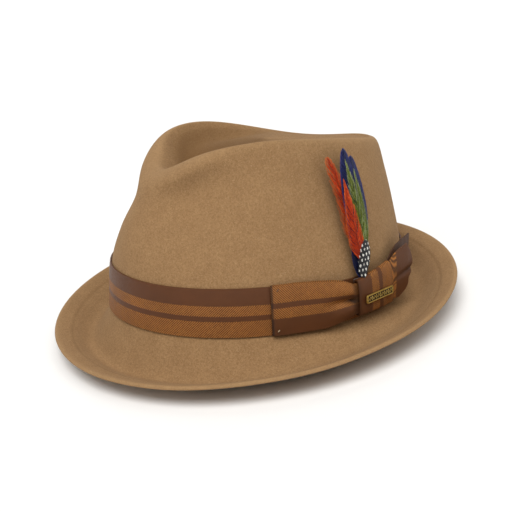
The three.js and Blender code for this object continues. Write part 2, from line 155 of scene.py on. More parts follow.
def crownLine(t, u):
    # outside of the crown, u from 0 at the brim over the ridge and the crease to 1 in the middle
    s, c = np.sin(np.radians(t)), np.cos(np.radians(t))
    half = hatShape["ridgeWidth"] / 2
    signed = (t + 180) % 360 - 180
    height = around(t, hatShape["crownHeight"], 2.9, -6.6, -5)
    height = height + hatShape["bowSideLift"] * np.exp((np.cos(np.radians(t - 125)) - 1) / 0.185)
    ridge = vector(half * s * (1 + 0.06 * c), 7 - hatShape["ridgeLength"] / 2 * c, height)
    alongX = half * (c + 0.06 * (c * c - s * s))
    alongY = hatShape["ridgeLength"] / 2 * s
    outward = unit(vector(alongY, -alongX, 0 * s))
    level = np.array([0, 0, 1.0])
    fromFront = np.abs(signed)
    frontSoft = smooth((hatShape["frontSoftUntil"] - fromFront) / 45)[:, None]
    closed = smooth((fromFront - hatShape["creaseUntil"]) / 45)[:, None]
    first = hatShape["ridgeRound"]
    turn = first + hatShape["frontRound"] * frontSoft + hatShape["rearRound"] * closed
    foot = oval(t, 0, 0)
    band = oval(t, -around(t, 3, 0.4), 30)
    shoulder = ridge + outward * first * 0.8 - level * (first * 0.8 + (turn - first) * 0.15)
    lift = hatShape["frontLift"] * frontSoft + hatShape["rearLift"] * closed
    ridge = ridge - outward * (turn - first) * 0.7 + level * lift
    fromPinch = [(t - side * hatShape["pinchAngle"] + 180) % 360 - 180 for side in (1, -1)]
    pinch = (hatShape["pinchDepth"] * (bell(fromPinch[0], 0, 24) + bell(fromPinch[1], 0, 24)))[:, None]
    swell = around(t, 1.3, 1.2, 1.5)[:, None]
    lower = lerp(band, shoulder, 0.4) + outward * (swell - pinch * 0.55)
    upper = lerp(band, shoulder, 0.75) + outward * (swell * 0.75 - pinch)
    inside = ridge - outward * turn * 0.9 - level * turn * lerp(0.9 - 0.2 * frontSoft, 0.1, closed)
    middle = vector(0 * s, 7 + 0 * s, hatShape["moundHeight"])
    crease = lerp(middle, ridge, 0.74 - 0.1 * frontSoft)
    mound = lerp(middle, ridge, 0.4)
    shut = closed[:, 0]
    depth = around(t, hatShape["creaseDepth"], 3, -1.5)
    crease[:, 2] = lerp(ridge[:, 2] - depth, lerp(ridge[:, 2], hatShape["moundHeight"] - 3, 0.5), shut)
    mound[:, 2] = hatShape["moundHeight"] - around(t, 2.6, 0.6, 1)
    return smoothThrough([foot, band, lower, upper, shoulder, ridge, inside, crease, mound, middle], u)


def wall(t, height, outward):
    # points of the crown's wall at given heights, moved outward: halving finds the height on the line
    t, height, outward = np.broadcast_arrays(*(np.asarray(v, float) for v in (t, height, outward)))
    shape = t.shape
    t, height, outward = t.ravel(), height.ravel(), outward.ravel()
    low, high = np.zeros_like(t), np.full_like(t, 4 / 9)
    for step in range(20):
        middle = (low + high) / 2
        below = crownLine(t, middle[None])[0, :, 2] < height
        low, high = np.where(below, middle, low), np.where(below, high, middle)
    on = crownLine(t, high[None])[0] + oval(t, outward, 0) - oval(t, 0, 0)
    on[:, 2] = height
    return on.reshape(*shape, 3)


degree = math.radians(hatShape["headWidth"] / 2)  # length of one degree beside the bow


def closedSurfaces(name, grids, uvs=None, values=None, cap="pole", loop=False):
    # grids (count, rows, ring, 3): each item is a tube of rings, ended by poles, by a ladder of quads
    # between the ring's two halves, or joined end to end. Items that are inside out are turned round.
    count, rows, ring = grids.shape[:3]
    values = dict(values or {})
    if uvs is None:
        uvs = np.zeros((count, rows + loop, ring + 1, 2))
    nextRing = np.roll(grids, -1, 2)
    upper = np.roll(grids, -1, 1) if loop else grids[:, 1:]
    upperNext = np.roll(nextRing, -1, 1) if loop else nextRing[:, 1:]
    lower, lowerNext = (grids, nextRing) if loop else (grids[:, :-1], nextRing[:, :-1])
    centre = grids.mean((1, 2), keepdims=True)
    volume = np.einsum("crkx,crkx->c", lower - centre, np.cross(lowerNext - centre, upperNext - centre))
    volume += np.einsum("crkx,crkx->c", lower - centre, np.cross(upperNext - centre, upper - centre))
    wrong = volume < 0
    back = (ring - np.arange(ring)) % ring
    grids = np.where(wrong[:, None, None, None], grids[:, :, back], grids)
    uvs = np.where(wrong[:, None, None, None], uvs[:, :, ::-1], uvs)
    for key, value in values.items():
        values[key] = np.where(wrong[:, None, None], value[:, :, back], value)

    each = rows * ring + (2 if cap == "pole" and not loop else 0)
    i, j = np.meshgrid(np.arange(rows if loop else rows - 1), np.arange(ring), indexing="ij")
    corner = lambda r, k: (r % rows) * ring + k % ring
    quads = np.stack([corner(i, j), corner(i, j + 1), corner(i + 1, j + 1), corner(i + 1, j)], -1)
    quads = quads.reshape(-1, 4)
    quadUv = np.stack([uvs[:, i, j], uvs[:, i, j + 1], uvs[:, i + 1, j + 1], uvs[:, i + 1, j]], 3)
    quadUv = quadUv.reshape(count, -1, 4, 2)
    tris = np.zeros((0, 3), int)
    triUv = np.zeros((count, 0, 3, 2))
    points = grids.reshape(count, rows * ring, 3)
    flat = {key: value.reshape(count, rows * ring) for key, value in values.items()}
    k = np.arange(ring)
    if cap == "pole" and not loop:
        poles = np.stack([grids[:, 0].mean(1), grids[:, -1].mean(1)], 1)
        points = np.concatenate([points, poles], 1)
        for key, value in values.items():
            ends = np.stack([value[:, 0].mean(1), value[:, -1].mean(1)], 1)
            flat[key] = np.concatenate([flat[key], ends], 1)
        low = np.stack([corner(0, k + 1), corner(0, k), 0 * k + rows * ring], -1)
        high = np.stack([corner(rows - 1, k), corner(rows - 1, k + 1), 0 * k + rows * ring + 1], -1)
        tris = np.concatenate([low, high])
        ends = []
        for r, (a, b) in ((0, (k + 1, k)), (rows - 1, (k, k + 1))):
            ends.append(np.stack([uvs[:, r, a], uvs[:, r, b], (uvs[:, r, a] + uvs[:, r, b]) / 2], 2))
        triUv = np.concatenate(ends, 1)
    if cap == "ladder" and not loop:
        m = np.arange(ring // 2 - 1)
        low = np.stack([corner(0, m + 1), corner(0, m), corner(0, ring - 1 - m), corner(0, ring - 2 - m)], -1)
        top = (rows - 1) * ring
        high = np.stack([top + m, top + m + 1, top + ring - 2 - m, top + ring - 1 - m], -1)
        if wrong[0]:  # a turned ring starts one corner further on
            low = np.stack([corner(0, -m), corner(0, -m - 1), corner(0, m + 2), corner(0, m + 1)], -1)
            high = np.stack([top + (-m - 1) % ring, top + (-m) % ring, top + m + 1, top + m + 2], -1)
        ends = np.concatenate([low, high])
        quads = np.concatenate([quads, ends])
        endRow = np.where(ends >= top, rows - 1, 0) if rows > 1 else 0 * ends
        quadUv = np.concatenate([quadUv, uvs[:, endRow, ends % ring]], 1)

    offsets = np.arange(count)[:, None, None] * each
    allQuads = (quads[None] + offsets).reshape(-1, 4)
    allTris = (tris[None] + offsets).reshape(-1, 3)
    corners = np.concatenate([allQuads.ravel(), allTris.ravel()])
    starts = np.concatenate([np.arange(len(allQuads)) * 4, len(allQuads) * 4 + np.arange(len(allTris)) * 3])
    mesh = bpy.data.meshes.new(name)
    mesh.vertices.add(count * each)
    mesh.vertices.foreach_set("co", toRow(points).astype(np.float32).ravel())
    mesh.loops.add(len(corners))
    mesh.loops.foreach_set("vertex_index", corners.astype(np.int32))
    mesh.polygons.add(len(starts))
    mesh.polygons.foreach_set("loop_start", starts.astype(np.int32))
    mesh.update(calc_edges=True)
    layer = mesh.uv_layers.new(name="weave")
    flatUv = np.concatenate([quadUv.reshape(-1, 2), triUv.reshape(-1, 2)])
    layer.data.foreach_set("uv", flatUv.astype(np.float32).ravel())
    for key, value in flat.items():
        attribute = mesh.attributes.new(key, "FLOAT", "POINT")
        attribute.data.foreach_set("value", value.astype(np.float32).ravel())
    mesh.shade_smooth()
    return mesh


def piece(name, mesh, finish, body, slot, *stands, sharp=None):
    # an object of the mesh that rides on a body, takes a finish and stands for CAD nodes
    thing = bpy.data.objects.new(name, mesh)
    bpy.context.scene.collection.objects.link(thing)
    mesh.materials.append(finish)
    if sharp:
        mesh.set_sharp_from_angle(angle=math.radians(sharp))
    if stands:
        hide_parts(*stands)
    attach(thing, body)
    return thing


def lengthAlong(line):
    # distance from the first point to each point of a line
    steps = np.linalg.norm(np.diff(line, axis=0), axis=-1)
    return np.concatenate([[0], np.cumsum(steps)])


def sheetRing(front, back):
    # a thin sheet as a tube: its front rows and, the other way round, its back rows
    return np.concatenate([front, back[:, ::-1]], 1)[None]


def ribbonMesh(name, t, off, height, across, thickness, values=None, shift=0.0):
    # A ribbon on edge along the crown: t, off and height are (steps along, levels up). It gets its
    # thickness square to the path that angle and distance from the wall make.
    along = vector(np.gradient(t, axis=0) * degree, np.gradient(off, axis=0))
    along = along / np.maximum(np.linalg.norm(along, axis=-1, keepdims=True), 1e-9)
    sides = []
    for sign in (1, -1):
        half = sign * thickness / 2
        sides.append(wall(t - along[..., 1] * half / degree, height, off + along[..., 0] * half))
    grid = sheetRing(*sides)
    middle = (sides[0] + sides[1])[:, t.shape[1] // 2] / 2
    length = lengthAlong(middle) + shift
    ringAcross = np.concatenate([across, across[:, ::-1], across[:, :1]], 1)
    ringLength = np.broadcast_to(length[:, None], ringAcross.shape)
    uvs = np.stack([ringLength, ringAcross], -1)[None]
    ringValues = {}
    for key, value in (values or {}).items():
        ringValues[key] = np.concatenate([value, value[:, ::-1]], 1)[None]
    return closedSurfaces(name, grid, uvs, ringValues, cap="ladder")


def colour(code):
    # "rrggbb" as a screen shows it, to the linear colour that nodes take
    v = np.array([int(code[k : k + 2], 16) for k in (0, 2, 4)]) / 255
    linear = np.where(v <= 0.04045, v / 12.92, ((v + 0.055) / 1.055) ** 2.4)
    return (*(float(x) for x in linear), 1.0)


class Finish:
    # a material being wired up: each call adds one node and gives back the socket it puts out
    def __init__(self, name):
        self.material = bpy.data.materials.new(name)
        self.material.use_nodes = True
        self.tree = self.material.node_tree
        self.tree.nodes.clear()
        self.shader = self.tree.nodes.new("ShaderNodeBsdfPrincipled")
        output = self.tree.nodes.new("ShaderNodeOutputMaterial")
        self.tree.links.new(self.shader.outputs[0], output.inputs[0])

    def plug(self, socket, value):
        if isinstance(value, bpy.types.NodeSocket):
            self.tree.links.new(value, socket)
        else:
            socket.default_value = colour(value) if isinstance(value, str) else value

    def node(self, kind, out=0, settings=None, **inputs):
        made = self.tree.nodes.new("ShaderNode" + kind)
        for key, value in (settings or {}).items():
            setattr(made, key, value)
        for key, value in inputs.items():
            self.plug(made.inputs[key.replace("_", " ")], value)
        return made.outputs[out]

    def calc(self, operation, *numbers):
        made = self.tree.nodes.new("ShaderNodeMath")
        made.operation = operation
        for k, number in enumerate(numbers):
            self.plug(made.inputs[k], number)
        return made.outputs[0]

    def plus(self, a, b):
        return self.calc("ADD", a, b)

    def minus(self, a, b):
        return self.calc("SUBTRACT", a, b)

    def times(self, a, b):
        return self.calc("MULTIPLY", a, b)

    def over(self, a, b):
        return self.calc("DIVIDE", a, b)

    def place(self, stretch=(1, 1, 1)):
        # where on the hat, in millimetres
        where = self.node("TexCoord", "Object")
        scale = [1000 * s for s in stretch]
        return self.node("Mapping", Vector=where, Scale=scale)

    def weave(self):
        # the piece's own map: millimetres along it, and from 0 to 1 across it
        where = self.node("UVMap", settings={"uv_map": "weave"})
        split = self.tree.nodes.new("ShaderNodeSeparateXYZ")
        self.plug(split.inputs[0], where)
        return split.outputs[0], split.outputs[1]

    def value(self, name):
        return self.node("Attribute", "Fac", settings={"attribute_name": name})

    def noise(self, where, scale, detail=2.0, rough=0.5):
        return self.node("TexNoise", Vector=where, Scale=scale, Detail=detail, Roughness=rough)

    def range(self, value, low, high, start=0.0, end=1.0):
        return self.node("MapRange", Value=value, From_Min=low, From_Max=high, To_Min=start, To_Max=end)

    def mix(self, factor, a, b):
        made = self.tree.nodes.new("ShaderNodeMix")
        made.data_type = "RGBA"
        self.plug(made.inputs[0], factor)
        self.plug(made.inputs[6], a)
        self.plug(made.inputs[7], b)
        return made.outputs[2]

    def ramp(self, value, *stops):
        made = self.tree.nodes.new("ShaderNodeValToRGB")
        self.plug(made.inputs[0], value)
        band = made.color_ramp
        while len(band.elements) < len(stops):
            band.elements.new(0.5)
        for element, (position, shade) in zip(band.elements, stops):
            element.position, element.color = position, colour(shade)
        return made.outputs[0]

    def bump(self, height, distance):
        return self.node("Bump", Height=height, Distance=distance / 1000, Strength=1.0)

    def done(self, **inputs):
        for key, value in inputs.items():
            self.plug(self.shader.inputs[key.replace("_", " ")], value)
        return self.material


def feltFinish():
    # Colour: a camel base, times slow and quick mottling, lighter by rubbed wear and a painted highlight on
    # the ridge and the brim's edge and lip, darker by painted shade in the crown's hollow and along the
    # brim's groove line, with a few dark and pale fibres. Height: the same mottling and fine fibres.
    look = {"base": "896946", "pale": "9f805c", "deep": "6e5031", "hollowShade": "5a3d1e", "bumps": 0.28}
    f = Finish("camelFelt")
    where = f.place()
    slow = f.noise(where, 0.09, 3.0, 0.6)
    grain = f.noise(where, 0.75, 3.0, 0.65)
    fine = f.noise(where, 1.7, 3.0, 0.7)
    fibreA = f.noise(f.place((0.5, 3.4, 1.6)), 1.3, 2.0, 0.6)
    fibreB = f.noise(f.place((3.2, 0.6, 1.2)), 1.3, 2.0, 0.6)
    tone = f.mix(f.range(slow, 0.3, 0.7), look["deep"], look["pale"])
    tone = f.mix(0.78, tone, look["base"])
    tone = f.mix(f.range(grain, 0.38, 0.64, 0.0, 0.62), tone, look["deep"])
    tone = f.mix(f.range(fine, 0.45, 0.68, 0.0, 0.6), tone, look["pale"])
    dark = f.range(fibreA, 0.62, 0.7, 0.0, 0.6)
    tone = f.mix(dark, tone, "5d4229")
    light = f.range(fibreB, 0.63, 0.71, 0.0, 0.6)
    tone = f.mix(light, tone, "a78e6f")
    # lighter by rubbed wear and a painted highlight on the ridge, the brim's edge and the lip
    tone = f.mix(f.times(f.value("wearAndHighlight"), 0.35), tone, look["pale"])
    # painted shade: darker in the crown's hollow and along the brim's groove line
    tone = f.mix(f.times(f.value("fold"), 0.8), tone, look["hollowShade"])
    height = f.plus(f.times(grain, 0.7), f.times(fine, 0.5))
    height = f.plus(height, f.times(fibreA, 0.35))
    rough = f.range(slow, 0.3, 0.7, 0.86, 0.96)
    return f.done(
        Base_Color=tone,
        Roughness=rough,
        Normal=f.bump(height, look["bumps"]),
        Sheen_Weight=0.12,
        Sheen_Roughness=0.55,
        Sheen_Tint="e8c69c",
        Specular_IOR_Level=0.15,
    )


ribbonLook = {
    "width": 30.0,  # mm, for the slope of the twill
    "pitch": 1.45,  # mm between two twill lines, along the ribbon
    "brown": "573116",
    "brownDark": "3b200f",
    "tan": "a3662d",
    "tanDark": "3e220d",
}


def ribbonFinish(name, shade=1.0):
    # Across the ribbon: twill to 0.34, brown to 0.45, twill to 0.66, brown to 1, with borders that
    # step in time with the twill. Twill: a saw wave of (along - across) over the pitch.
    f = Finish(name)
    along, across = f.weave()
    up = f.times(across, ribbonLook["width"])
    phase = f.calc("FRACT", f.over(f.minus(along, up), ribbonLook["pitch"]))
    line = f.calc("ABSOLUTE", f.minus(f.times(phase, 2.0), 1.0))
    step = f.times(f.minus(line, 0.5), 0.026)
    edge = f.plus(across, step)
    inBrown = f.calc("GREATER_THAN", edge, 0.66)
    thin = f.times(f.calc("GREATER_THAN", edge, 0.34), f.calc("LESS_THAN", edge, 0.45))
    brown = f.calc("MAXIMUM", inBrown, thin)
    rib = f.calc("SINE", f.times(along, 2 * math.pi / 0.62))
    thread = f.calc("SINE", f.times(up, 2 * math.pi / 0.55))
    where = f.place()
    slub = f.noise(where, 0.6, 3.0, 0.6)
    slow = f.noise(where, 0.08, 2.0, 0.5)
    look = ribbonLook
    plain = f.mix(f.range(rib, -1.0, 1.0, 0.0, 0.4), look["brown"], look["brownDark"])
    plain = f.mix(f.range(slub, 0.35, 0.7, 0.0, 0.45), plain, "59341a")
    twill = f.mix(f.range(line, 0.3, 0.85), look["tanDark"], look["tan"])
    twill = f.mix(f.range(slub, 0.35, 0.7, 0.0, 0.35), twill, "a06a32")
    tone = f.mix(brown, twill, plain)
    tone = f.mix(f.range(slow, 0.3, 0.7, 0.0, 0.18), tone, "2e1b10")
    # painted shade: darker where the fold value is high, in the bow's folds, valleys and pinches and on the
    # back tail
    foldShade = f.times(f.value("fold"), 0.85)
    tone = f.mix(foldShade, tone, "1d110a")
    # painted shade: a darker copy of the ribbon for pieces that sit in shade
    if shade < 1:
        tone = f.mix(1.0 - shade, tone, "2a180e")
    relief = f.mix(brown, f.times(line, 1.0), f.range(rib, -1.0, 1.0, 0.35, 0.65))
    relief = f.plus(f.node("RGBToBW", Color=relief), f.times(thread, 0.08))
    rough = f.plus(f.times(brown, -0.1), f.range(slub, 0.3, 0.7, 0.55, 0.68))
    return f.done(
        Base_Color=tone,
        Roughness=rough,
        Normal=f.bump(relief, 0.09),
        Sheen_Weight=0.07,
        Sheen_Roughness=0.4,
        Sheen_Tint="c99a6b",
        Specular_IOR_Level=0.25,
    )


print("felt")
feltLook = {
    "columns": 288,
    "crownRows": 100,
    "brimRows": 50,
    "lipThickness": 2.4,
    "uneven": 0.2,  # soft waves left by the block
    "groove": 0.28,  # line inside the turned edge
}


def feltSurface():
    # Rings from the middle of the top down the crown, out over the brim, round the lip, and back
    # under it all at the felt's thickness.
    columns = feltLook["columns"]
    t = np.arange(columns) * 360 / columns
    crownU = np.linspace(0.988, 0, feltLook["crownRows"])[:, None]
    brimU = np.linspace(1, 0, feltLook["brimRows"])[1:, None]
    outer = np.concatenate([crownLine(t, crownU), brimLine(t, brimU)])
    rows = len(outer)
    u = np.concatenate([crownU[:, 0], -brimU[:, 0] * 0 - 1])
    brimShare = np.concatenate([np.full(len(crownU), 2.0), brimU[:, 0]])

    def normals(grid):
        up = np.gradient(grid, axis=0)
        along = np.roll(grid, -1, 1) - np.roll(grid, 1, 1)
        return unit(np.cross(up, along))

    n = normals(outer)
    if n[-1, :, 2].mean() < 0:
        n = -n
    p = outer / 22
    x, y, z = p[..., 0], p[..., 1], p[..., 2]
    wave = np.sin(x * 1.3 + 2 * np.sin(y * 0.7)) + np.sin(y * 1.7 + z * 1.1 + 1)
    wave = wave + 0.6 * np.sin(z * 2.6 + x * 2.1 + 4)
    steady = np.concatenate([smooth(crownU[:, 0] * 9 - 0.9), smooth((1 - brimU[:, 0]) * 4)])
    outer = outer + n * (wave * feltLook["uneven"] * steady[:, None] / 2)[..., None]
    lineAt = 0.25
    groove = feltLook["groove"] * bell(brimShare, lineAt, 0.022)
    outer = outer - n * groove[:, None, None]
    n = normals(outer)
    if n[-1, :, 2].mean() < 0:
        n = -n
    thick = np.where(brimShare < 0.24, feltLook["lipThickness"], hatShape["feltThickness"])
    thick = np.convolve(np.pad(thick, 3, mode="edge"), np.ones(7) / 7, "valid")
    under = outer - n * thick[:, None, None]
    edge, low = outer[-1], under[-1]
    middle, half = (edge + low) / 2, (edge - low) / 2
    out = oval(t, 1, 0) - oval(t, 0, 0)
    reach = feltLook["lipThickness"] / 2
    bend = np.linspace(0, math.pi, 8)[1:-1, None, None]
    lip = middle + half * np.cos(bend) + out * reach * np.sin(bend)
    inner = under[::-1][:: 2]
    grid = np.concatenate([outer, lip, inner])
    # lighter marks: rubbed wear plus a painted highlight, on the ridge, the brim's edge and the lip
    ridge = bell(u, 5 / 9, 0.03) + 0.6 * bell(u, 4.5 / 9, 0.05)
    wearAndHighlightOuter = np.clip(ridge + bell(brimShare, 0, 0.05) * 0.8, 0, 1)
    # painted shade along the brim's groove line
    grooveShade = 0.35 * bell(brimShare, lineAt, 0.02)
    wearAndHighlight = np.concatenate([wearAndHighlightOuter, np.full(len(lip), 0.8), 0 * inner[:, 0, 0]])
    fold = np.concatenate([grooveShade, 0 * lip[:, 0, 0], 0 * inner[:, 0, 0]])
    spread = lambda v: np.broadcast_to(v[:, None], grid.shape[:2])[None]
    # painted shade in the crown's hollow, strongest at the front
    hollowShade = smooth((u - 0.6) / 0.12)[:, None] * around(t, 0.5, 0.5)
    fold = spread(fold).copy()
    fold[0, : len(u)] = np.clip(fold[0, : len(u)] + hollowShade, 0, 1)
    return closedSurfaces("feltBody", grid[None], values={"wearAndHighlight": spread(wearAndHighlight), "fold": fold})


camelFelt = feltFinish()
piece("feltBody", feltSurface(), camelFelt, "hat", "felt", "felt_body")

print("band and bow")
bandLook = {"height": 30, "thickness": 0.9, "clearance": 0.4, "steps": 420, "dip": 3.8}
bow = {
    "thickness": 0.7,
    "loopAngle": 69.5,
    "knotAngle": 100,
    "knotSpan": 17.2,
    "knotInset": 4,
    "knotDepth": 3.6,
    "pocketDepth": 2.6,
    "foldRoom": 0.5,  # between the loop's two layers
    "badgeShare": 0.52,
}
gap = bandLook["clearance"]
overBand = gap + bandLook["thickness"]
knotBack = overBand + bow["pocketDepth"]
knotRoom = knotBack + bow["thickness"]
knotFront = knotRoom + bow["knotDepth"] + bow["thickness"]
knotEnd = bow["knotAngle"] + bow["knotSpan"]
levels = np.concatenate([[0, 0.008, 0.03], np.linspace(0.065, 0.935, 24), [0.97, 0.992, 1]])
stripedRibbon = ribbonFinish("stripedRibbon")


def bandSurface():
    # a strip right round the crown whose ends meet under the knot
    seam = bow["knotAngle"] + bow["knotSpan"] / 2
    t = np.linspace(seam + 0.15, seam + 359.85, bandLook["steps"])[:, None] + 0 * levels
    wave = 0.1 * np.sin(np.radians(t) * 9) * np.sin(levels * 5)
    underBow = t % 360  # the band's edge is pulled down where the bow covers it
    dip = bandLook["dip"] * smooth((underBow - 80) / 15) * (1 - smooth((underBow - 128) / 7))
    height = lerp(0.6, bandLook["height"] - dip, levels)
    off = overBand - bandLook["thickness"] / 2 + wave
    return ribbonMesh("hatBand", t, off, height, levels + 0 * t, bandLook["thickness"])


piece("hatBand", bandSurface(), stripedRibbon, "hat", "ribbon", "hat_band", sharp=50)


loop = {
    "low": 1.0,
    "top": ([0, 9, 17, 22, 25, 27.5, 29.5], [31, 31, 30, 28.9, 27.9, 26.4, 24.2]),  # degrees, mm
    "upperLobe": 2.3,
    "lowerLobe": 1.5,
    "frontValley": 2.6,
    "rearValley": 2.2,
}


def loopSurface():
    # The ribbon's path: out of the knot along the band, round the fold and back. Towards the knot it
    # narrows, swells into two lobes and sinks between them.
    half = bow["thickness"] / 2
    near = overBand + gap + half
    far = near + bow["thickness"] + bow["foldRoom"]
    inner = knotRoom + gap + half
    outer = inner + bow["thickness"] + bow["foldRoom"]
    end = bow["knotAngle"] + bow["knotSpan"] * 0.45
    mouth = bow["knotAngle"] - 1
    start = bow["loopAngle"]
    corners = np.array([
        [end, inner],
        [mouth, inner],
        [lerp(start, mouth, 0.86), lerp(near, inner, 0.7)],
        [lerp(start, mouth, 0.7), lerp(near, inner, 0.25)],
        [lerp(start, mouth, 0.4), near],
        [start + 2.5, near],
        [start + 0.8, near],
        [start + 0.1, lerp(near, far, 0.5)],
        [start + 0.8, far],
        [start + 2.5, far + 0.1],
        [lerp(start, mouth, 0.4), far + 0.4],
        [lerp(start, mouth, 0.7), lerp(far, outer, 0.6)],
        [lerp(start, mouth, 0.86), outer + 0.5],
        [mouth, outer + 0.3],
        [end, outer],
    ])
    counts = [8, 8, 8, 14, 14, 5, 6, 6, 5, 16, 16, 12, 12, 10]
    u = np.concatenate([np.arange(c) / c + k for k, c in enumerate(counts)] + [[len(counts)]]) / len(counts)
    path = smoothThrough(corners[:, None, :], u[:, None])[:, 0]
    t, off = path[:, :1] + 0 * levels, path[:, 1:] + 0 * levels
    fold = 7.5 / 14
    isFront = smooth((u - fold) * 12)[:, None]
    gatherStart = lerp(start, mouth, 0.6)
    gather = smooth((t - gatherStart) / (mouth - gatherStart))
    low = lerp(loop["low"], bow["knotInset"] + 1.6, gather)
    high = np.interp(t - start, *loop["top"])
    deep = smooth((t - lerp(start, mouth, 0.45)) / (mouth - lerp(start, mouth, 0.45))) ** 1.5
    inKnot = smooth((t - mouth + 2.2) / 3)
    lobes = loop["upperLobe"] * bell(levels, 0.78, 0.18) + loop["lowerLobe"] * bell(levels, 0.2, 0.17)
    valley = bell(levels, 0.47, 0.075) * deep
    belly = 0.35 * np.sin(np.pi * levels) * (1 - deep)
    frontLift = deep * lobes + belly - loop["frontValley"] * valley
    rearLift = -loop["rearValley"] * valley
    off = off + (1 - inKnot) * (isFront * frontLift + (1 - isFront) * rearLift)
    shadow = isFront * np.clip(valley * smooth((t - mouth + 6) / 6) * 1.1, 0, 1)
    shadow = shadow + 0.55 * smooth((t - mouth + 2.4) / 2.4) * isFront
    shadow = np.clip(shadow + 0.9 * bell(t, start + 0.3, 0.45), 0, 1)
    height = lerp(low, high, levels)
    across = 1 - levels + 0 * t
    return ribbonMesh("bowLoop", t, off, height, across, bow["thickness"], {"fold": shadow}, shift=3)


piece("bowLoop", loopSurface(), stripedRibbon, "hat", "ribbon", "bow_loop", sharp=60)


def knotSurface():
    # The ribbon wound round the middle of the bow: a rounded box section in height and distance
    # from the wall, carried along the bow, with soft creases that run round it.
    share = levels
    t = bow["knotAngle"] + bow["knotSpan"] * share
    low = bow["knotInset"] + 0 * share
    high = lerp(bandLook["height"] - 3.5, bandLook["height"] + 0.8, share)
    half = bow["thickness"] / 2
    steps = 96
    turn = np.linspace(0, 2 * math.pi, steps + 1)[:-1, None]
    power = 0.42
    c, s = np.cos(turn), np.sin(turn)
    boxX = np.sign(c) * np.abs(c) ** power
    boxY = np.sign(s) * np.abs(s) ** power
    height = (low + high) / 2 + (high - low - 2 * half) / 2 * boxX
    depth = (knotFront - knotBack - 2 * half) / 2
    off = (knotFront + knotBack) / 2 + depth * boxY
    front = smooth(boxY * 1.3)
    lift = (height - low) / (high - low)
    crease = 0.28 * np.sin(share * 21 + 1.5 * np.sin(lift * 4)) * bell(lift, 0.5, 0.6)
    crease = crease - 0.5 * bell(share, 0.36 + 0.05 * np.sin(lift * 5), 0.035) * smooth((0.55 - lift) * 3)
    off = off + front * (crease * (0.4 + 0.6 * share) - 0.25)
    t = t + 0 * height
    shadow = 0.45 * bell(share, 0, 0.06) + 0 * height
    grid = []
    normalH = np.roll(height, -1, 0) - np.roll(height, 1, 0)
    normalO = np.roll(off, -1, 0) - np.roll(off, 1, 0)
    size = np.maximum(np.hypot(normalH, normalO), 1e-9)
    for sign in (1, -1):
        shift = sign * half
        grid.append(wall(t, height + normalO / size * shift, off - normalH / size * shift))
    ring = sheetRing(*grid)
    middle = (grid[0] + grid[1])[:, len(levels) // 2] / 2
    length = lengthAlong(np.concatenate([middle, middle[:1]]))
    across = 1 - share
    ringAcross = np.concatenate([across, across[::-1], across[:1]])
    uvs = np.stack(np.broadcast_arrays(length[:, None], ringAcross[None]), -1)[None]
    values = {"fold": np.concatenate([shadow, shadow[:, ::-1]], 1)[None]}
    return closedSurfaces("bowKnot", ring, uvs, values, loop=True)


piece("bowKnot", knotSurface(), stripedRibbon, "hat", "ribbon", "bow_knot", sharp=60)


def tailSurface(name, tail):
    # A cut ribbon end: it leaves the knot, opens to the ribbon's width and swings out from the crown.
    # Its end is slanted: cut gives the angle it reaches at each height.
    start = bow["knotAngle"] + bow["knotSpan"] * 0.55
    share = np.linspace(0, 1, 60)[:, None]
    t = lerp(start, np.interp(levels, *tail["cut"]), share)
    past = smooth((t - knotEnd) / 4)
    off = np.interp(t, *tail["off"])
    dent = tail["dent"] * bell(levels, 0.44 + 0.05 * share, 0.05) * smooth(share * 1.6 - 0.5)
    off = off - past * dent
    high = np.interp(t, *tail["top"])
    low = lerp(bow["knotInset"] + 2, tail["low"], past)
    height = lerp(low, high, levels)
    gone = (t - knotEnd) * degree
    turned = 0.24 * smooth((gone + 2 - 4 * levels) / 11) + 0.1 * smooth(gone / 14)
    across = tail["brown"] + turned
    shadow = np.clip(0.4 * dent * past, 0, 1) + 0.5 * bell(t, knotEnd, 1.2) + tail["shade"]
    return ribbonMesh(name, t, off, height, across, bow["thickness"], {"fold": np.clip(shadow, 0, 1)})


backTail = {
    "cut": ([0.0, 0.4, 0.65, 0.82, 1.0], [121.0, 128.0, 132.0, 134.6, 137.0]),
    "top": ([108.0, 117.0, 119.0, 121.5, 125.6, 130.0, 137.0], [26.2, 28.8, 31.8, 34.6, 37.0, 38.2, 39.4]),
    "off": ([108.0, 117.0, 121.0, 126.0, 131.0, 137.0], [5.35, 5.4, 5.6, 6.2, 7.4, 9.4]),
    "low": 5.0,
    "dent": 0.0,
    "brown": 0.75,
    "shade": 0.5,
}
frontTail = {
    "cut": (
        [0.0, 0.11, 0.21, 0.32, 0.4, 0.52, 0.68, 0.84, 1.0],
        [121.5, 125.5, 127.1, 127.3, 129.3, 130.7, 130.8, 130.2, 128.8],
    ),
    "top": ([108.0, 117.0, 119.0, 121.5, 124.0, 129.0, 131.0], [26.2, 29.2, 31.6, 33.8, 35.3, 37.0, 37.2]),
    "off": ([108.0, 117.0, 120.0, 124.0, 128.0, 131.0], [6.6, 6.8, 7.6, 9.2, 11.0, 12.0]),
    "low": 5.2,
    "dent": 1.3,
    "brown": 0.5,
    "shade": 0.0,
}
# the ribbon darkened by painted shade, for the tail behind the front one and the bow inside the crown
shadedRibbon = ribbonFinish("stripedRibbonShaded", 0.8)
backMesh = tailSurface("bowTailBack", backTail)
piece("bowTailBack", backMesh, shadedRibbon, "hat", "ribbon", "bow_tail_back", sharp=60)
frontMesh = tailSurface("bowTailFront", frontTail)
piece("bowTailFront", frontMesh, stripedRibbon, "hat", "ribbon", "bow_tail_front", sharp=60)

print("badge")
badgeLook = {
    "length": 26,
    "height": 5.4,
    "thickness": 1.0,
    "border": 0.7,
    "round": 1.2,
    "recess": 0.42,
    "repeat": 4.0,  # mm from one lozenge to the next
}


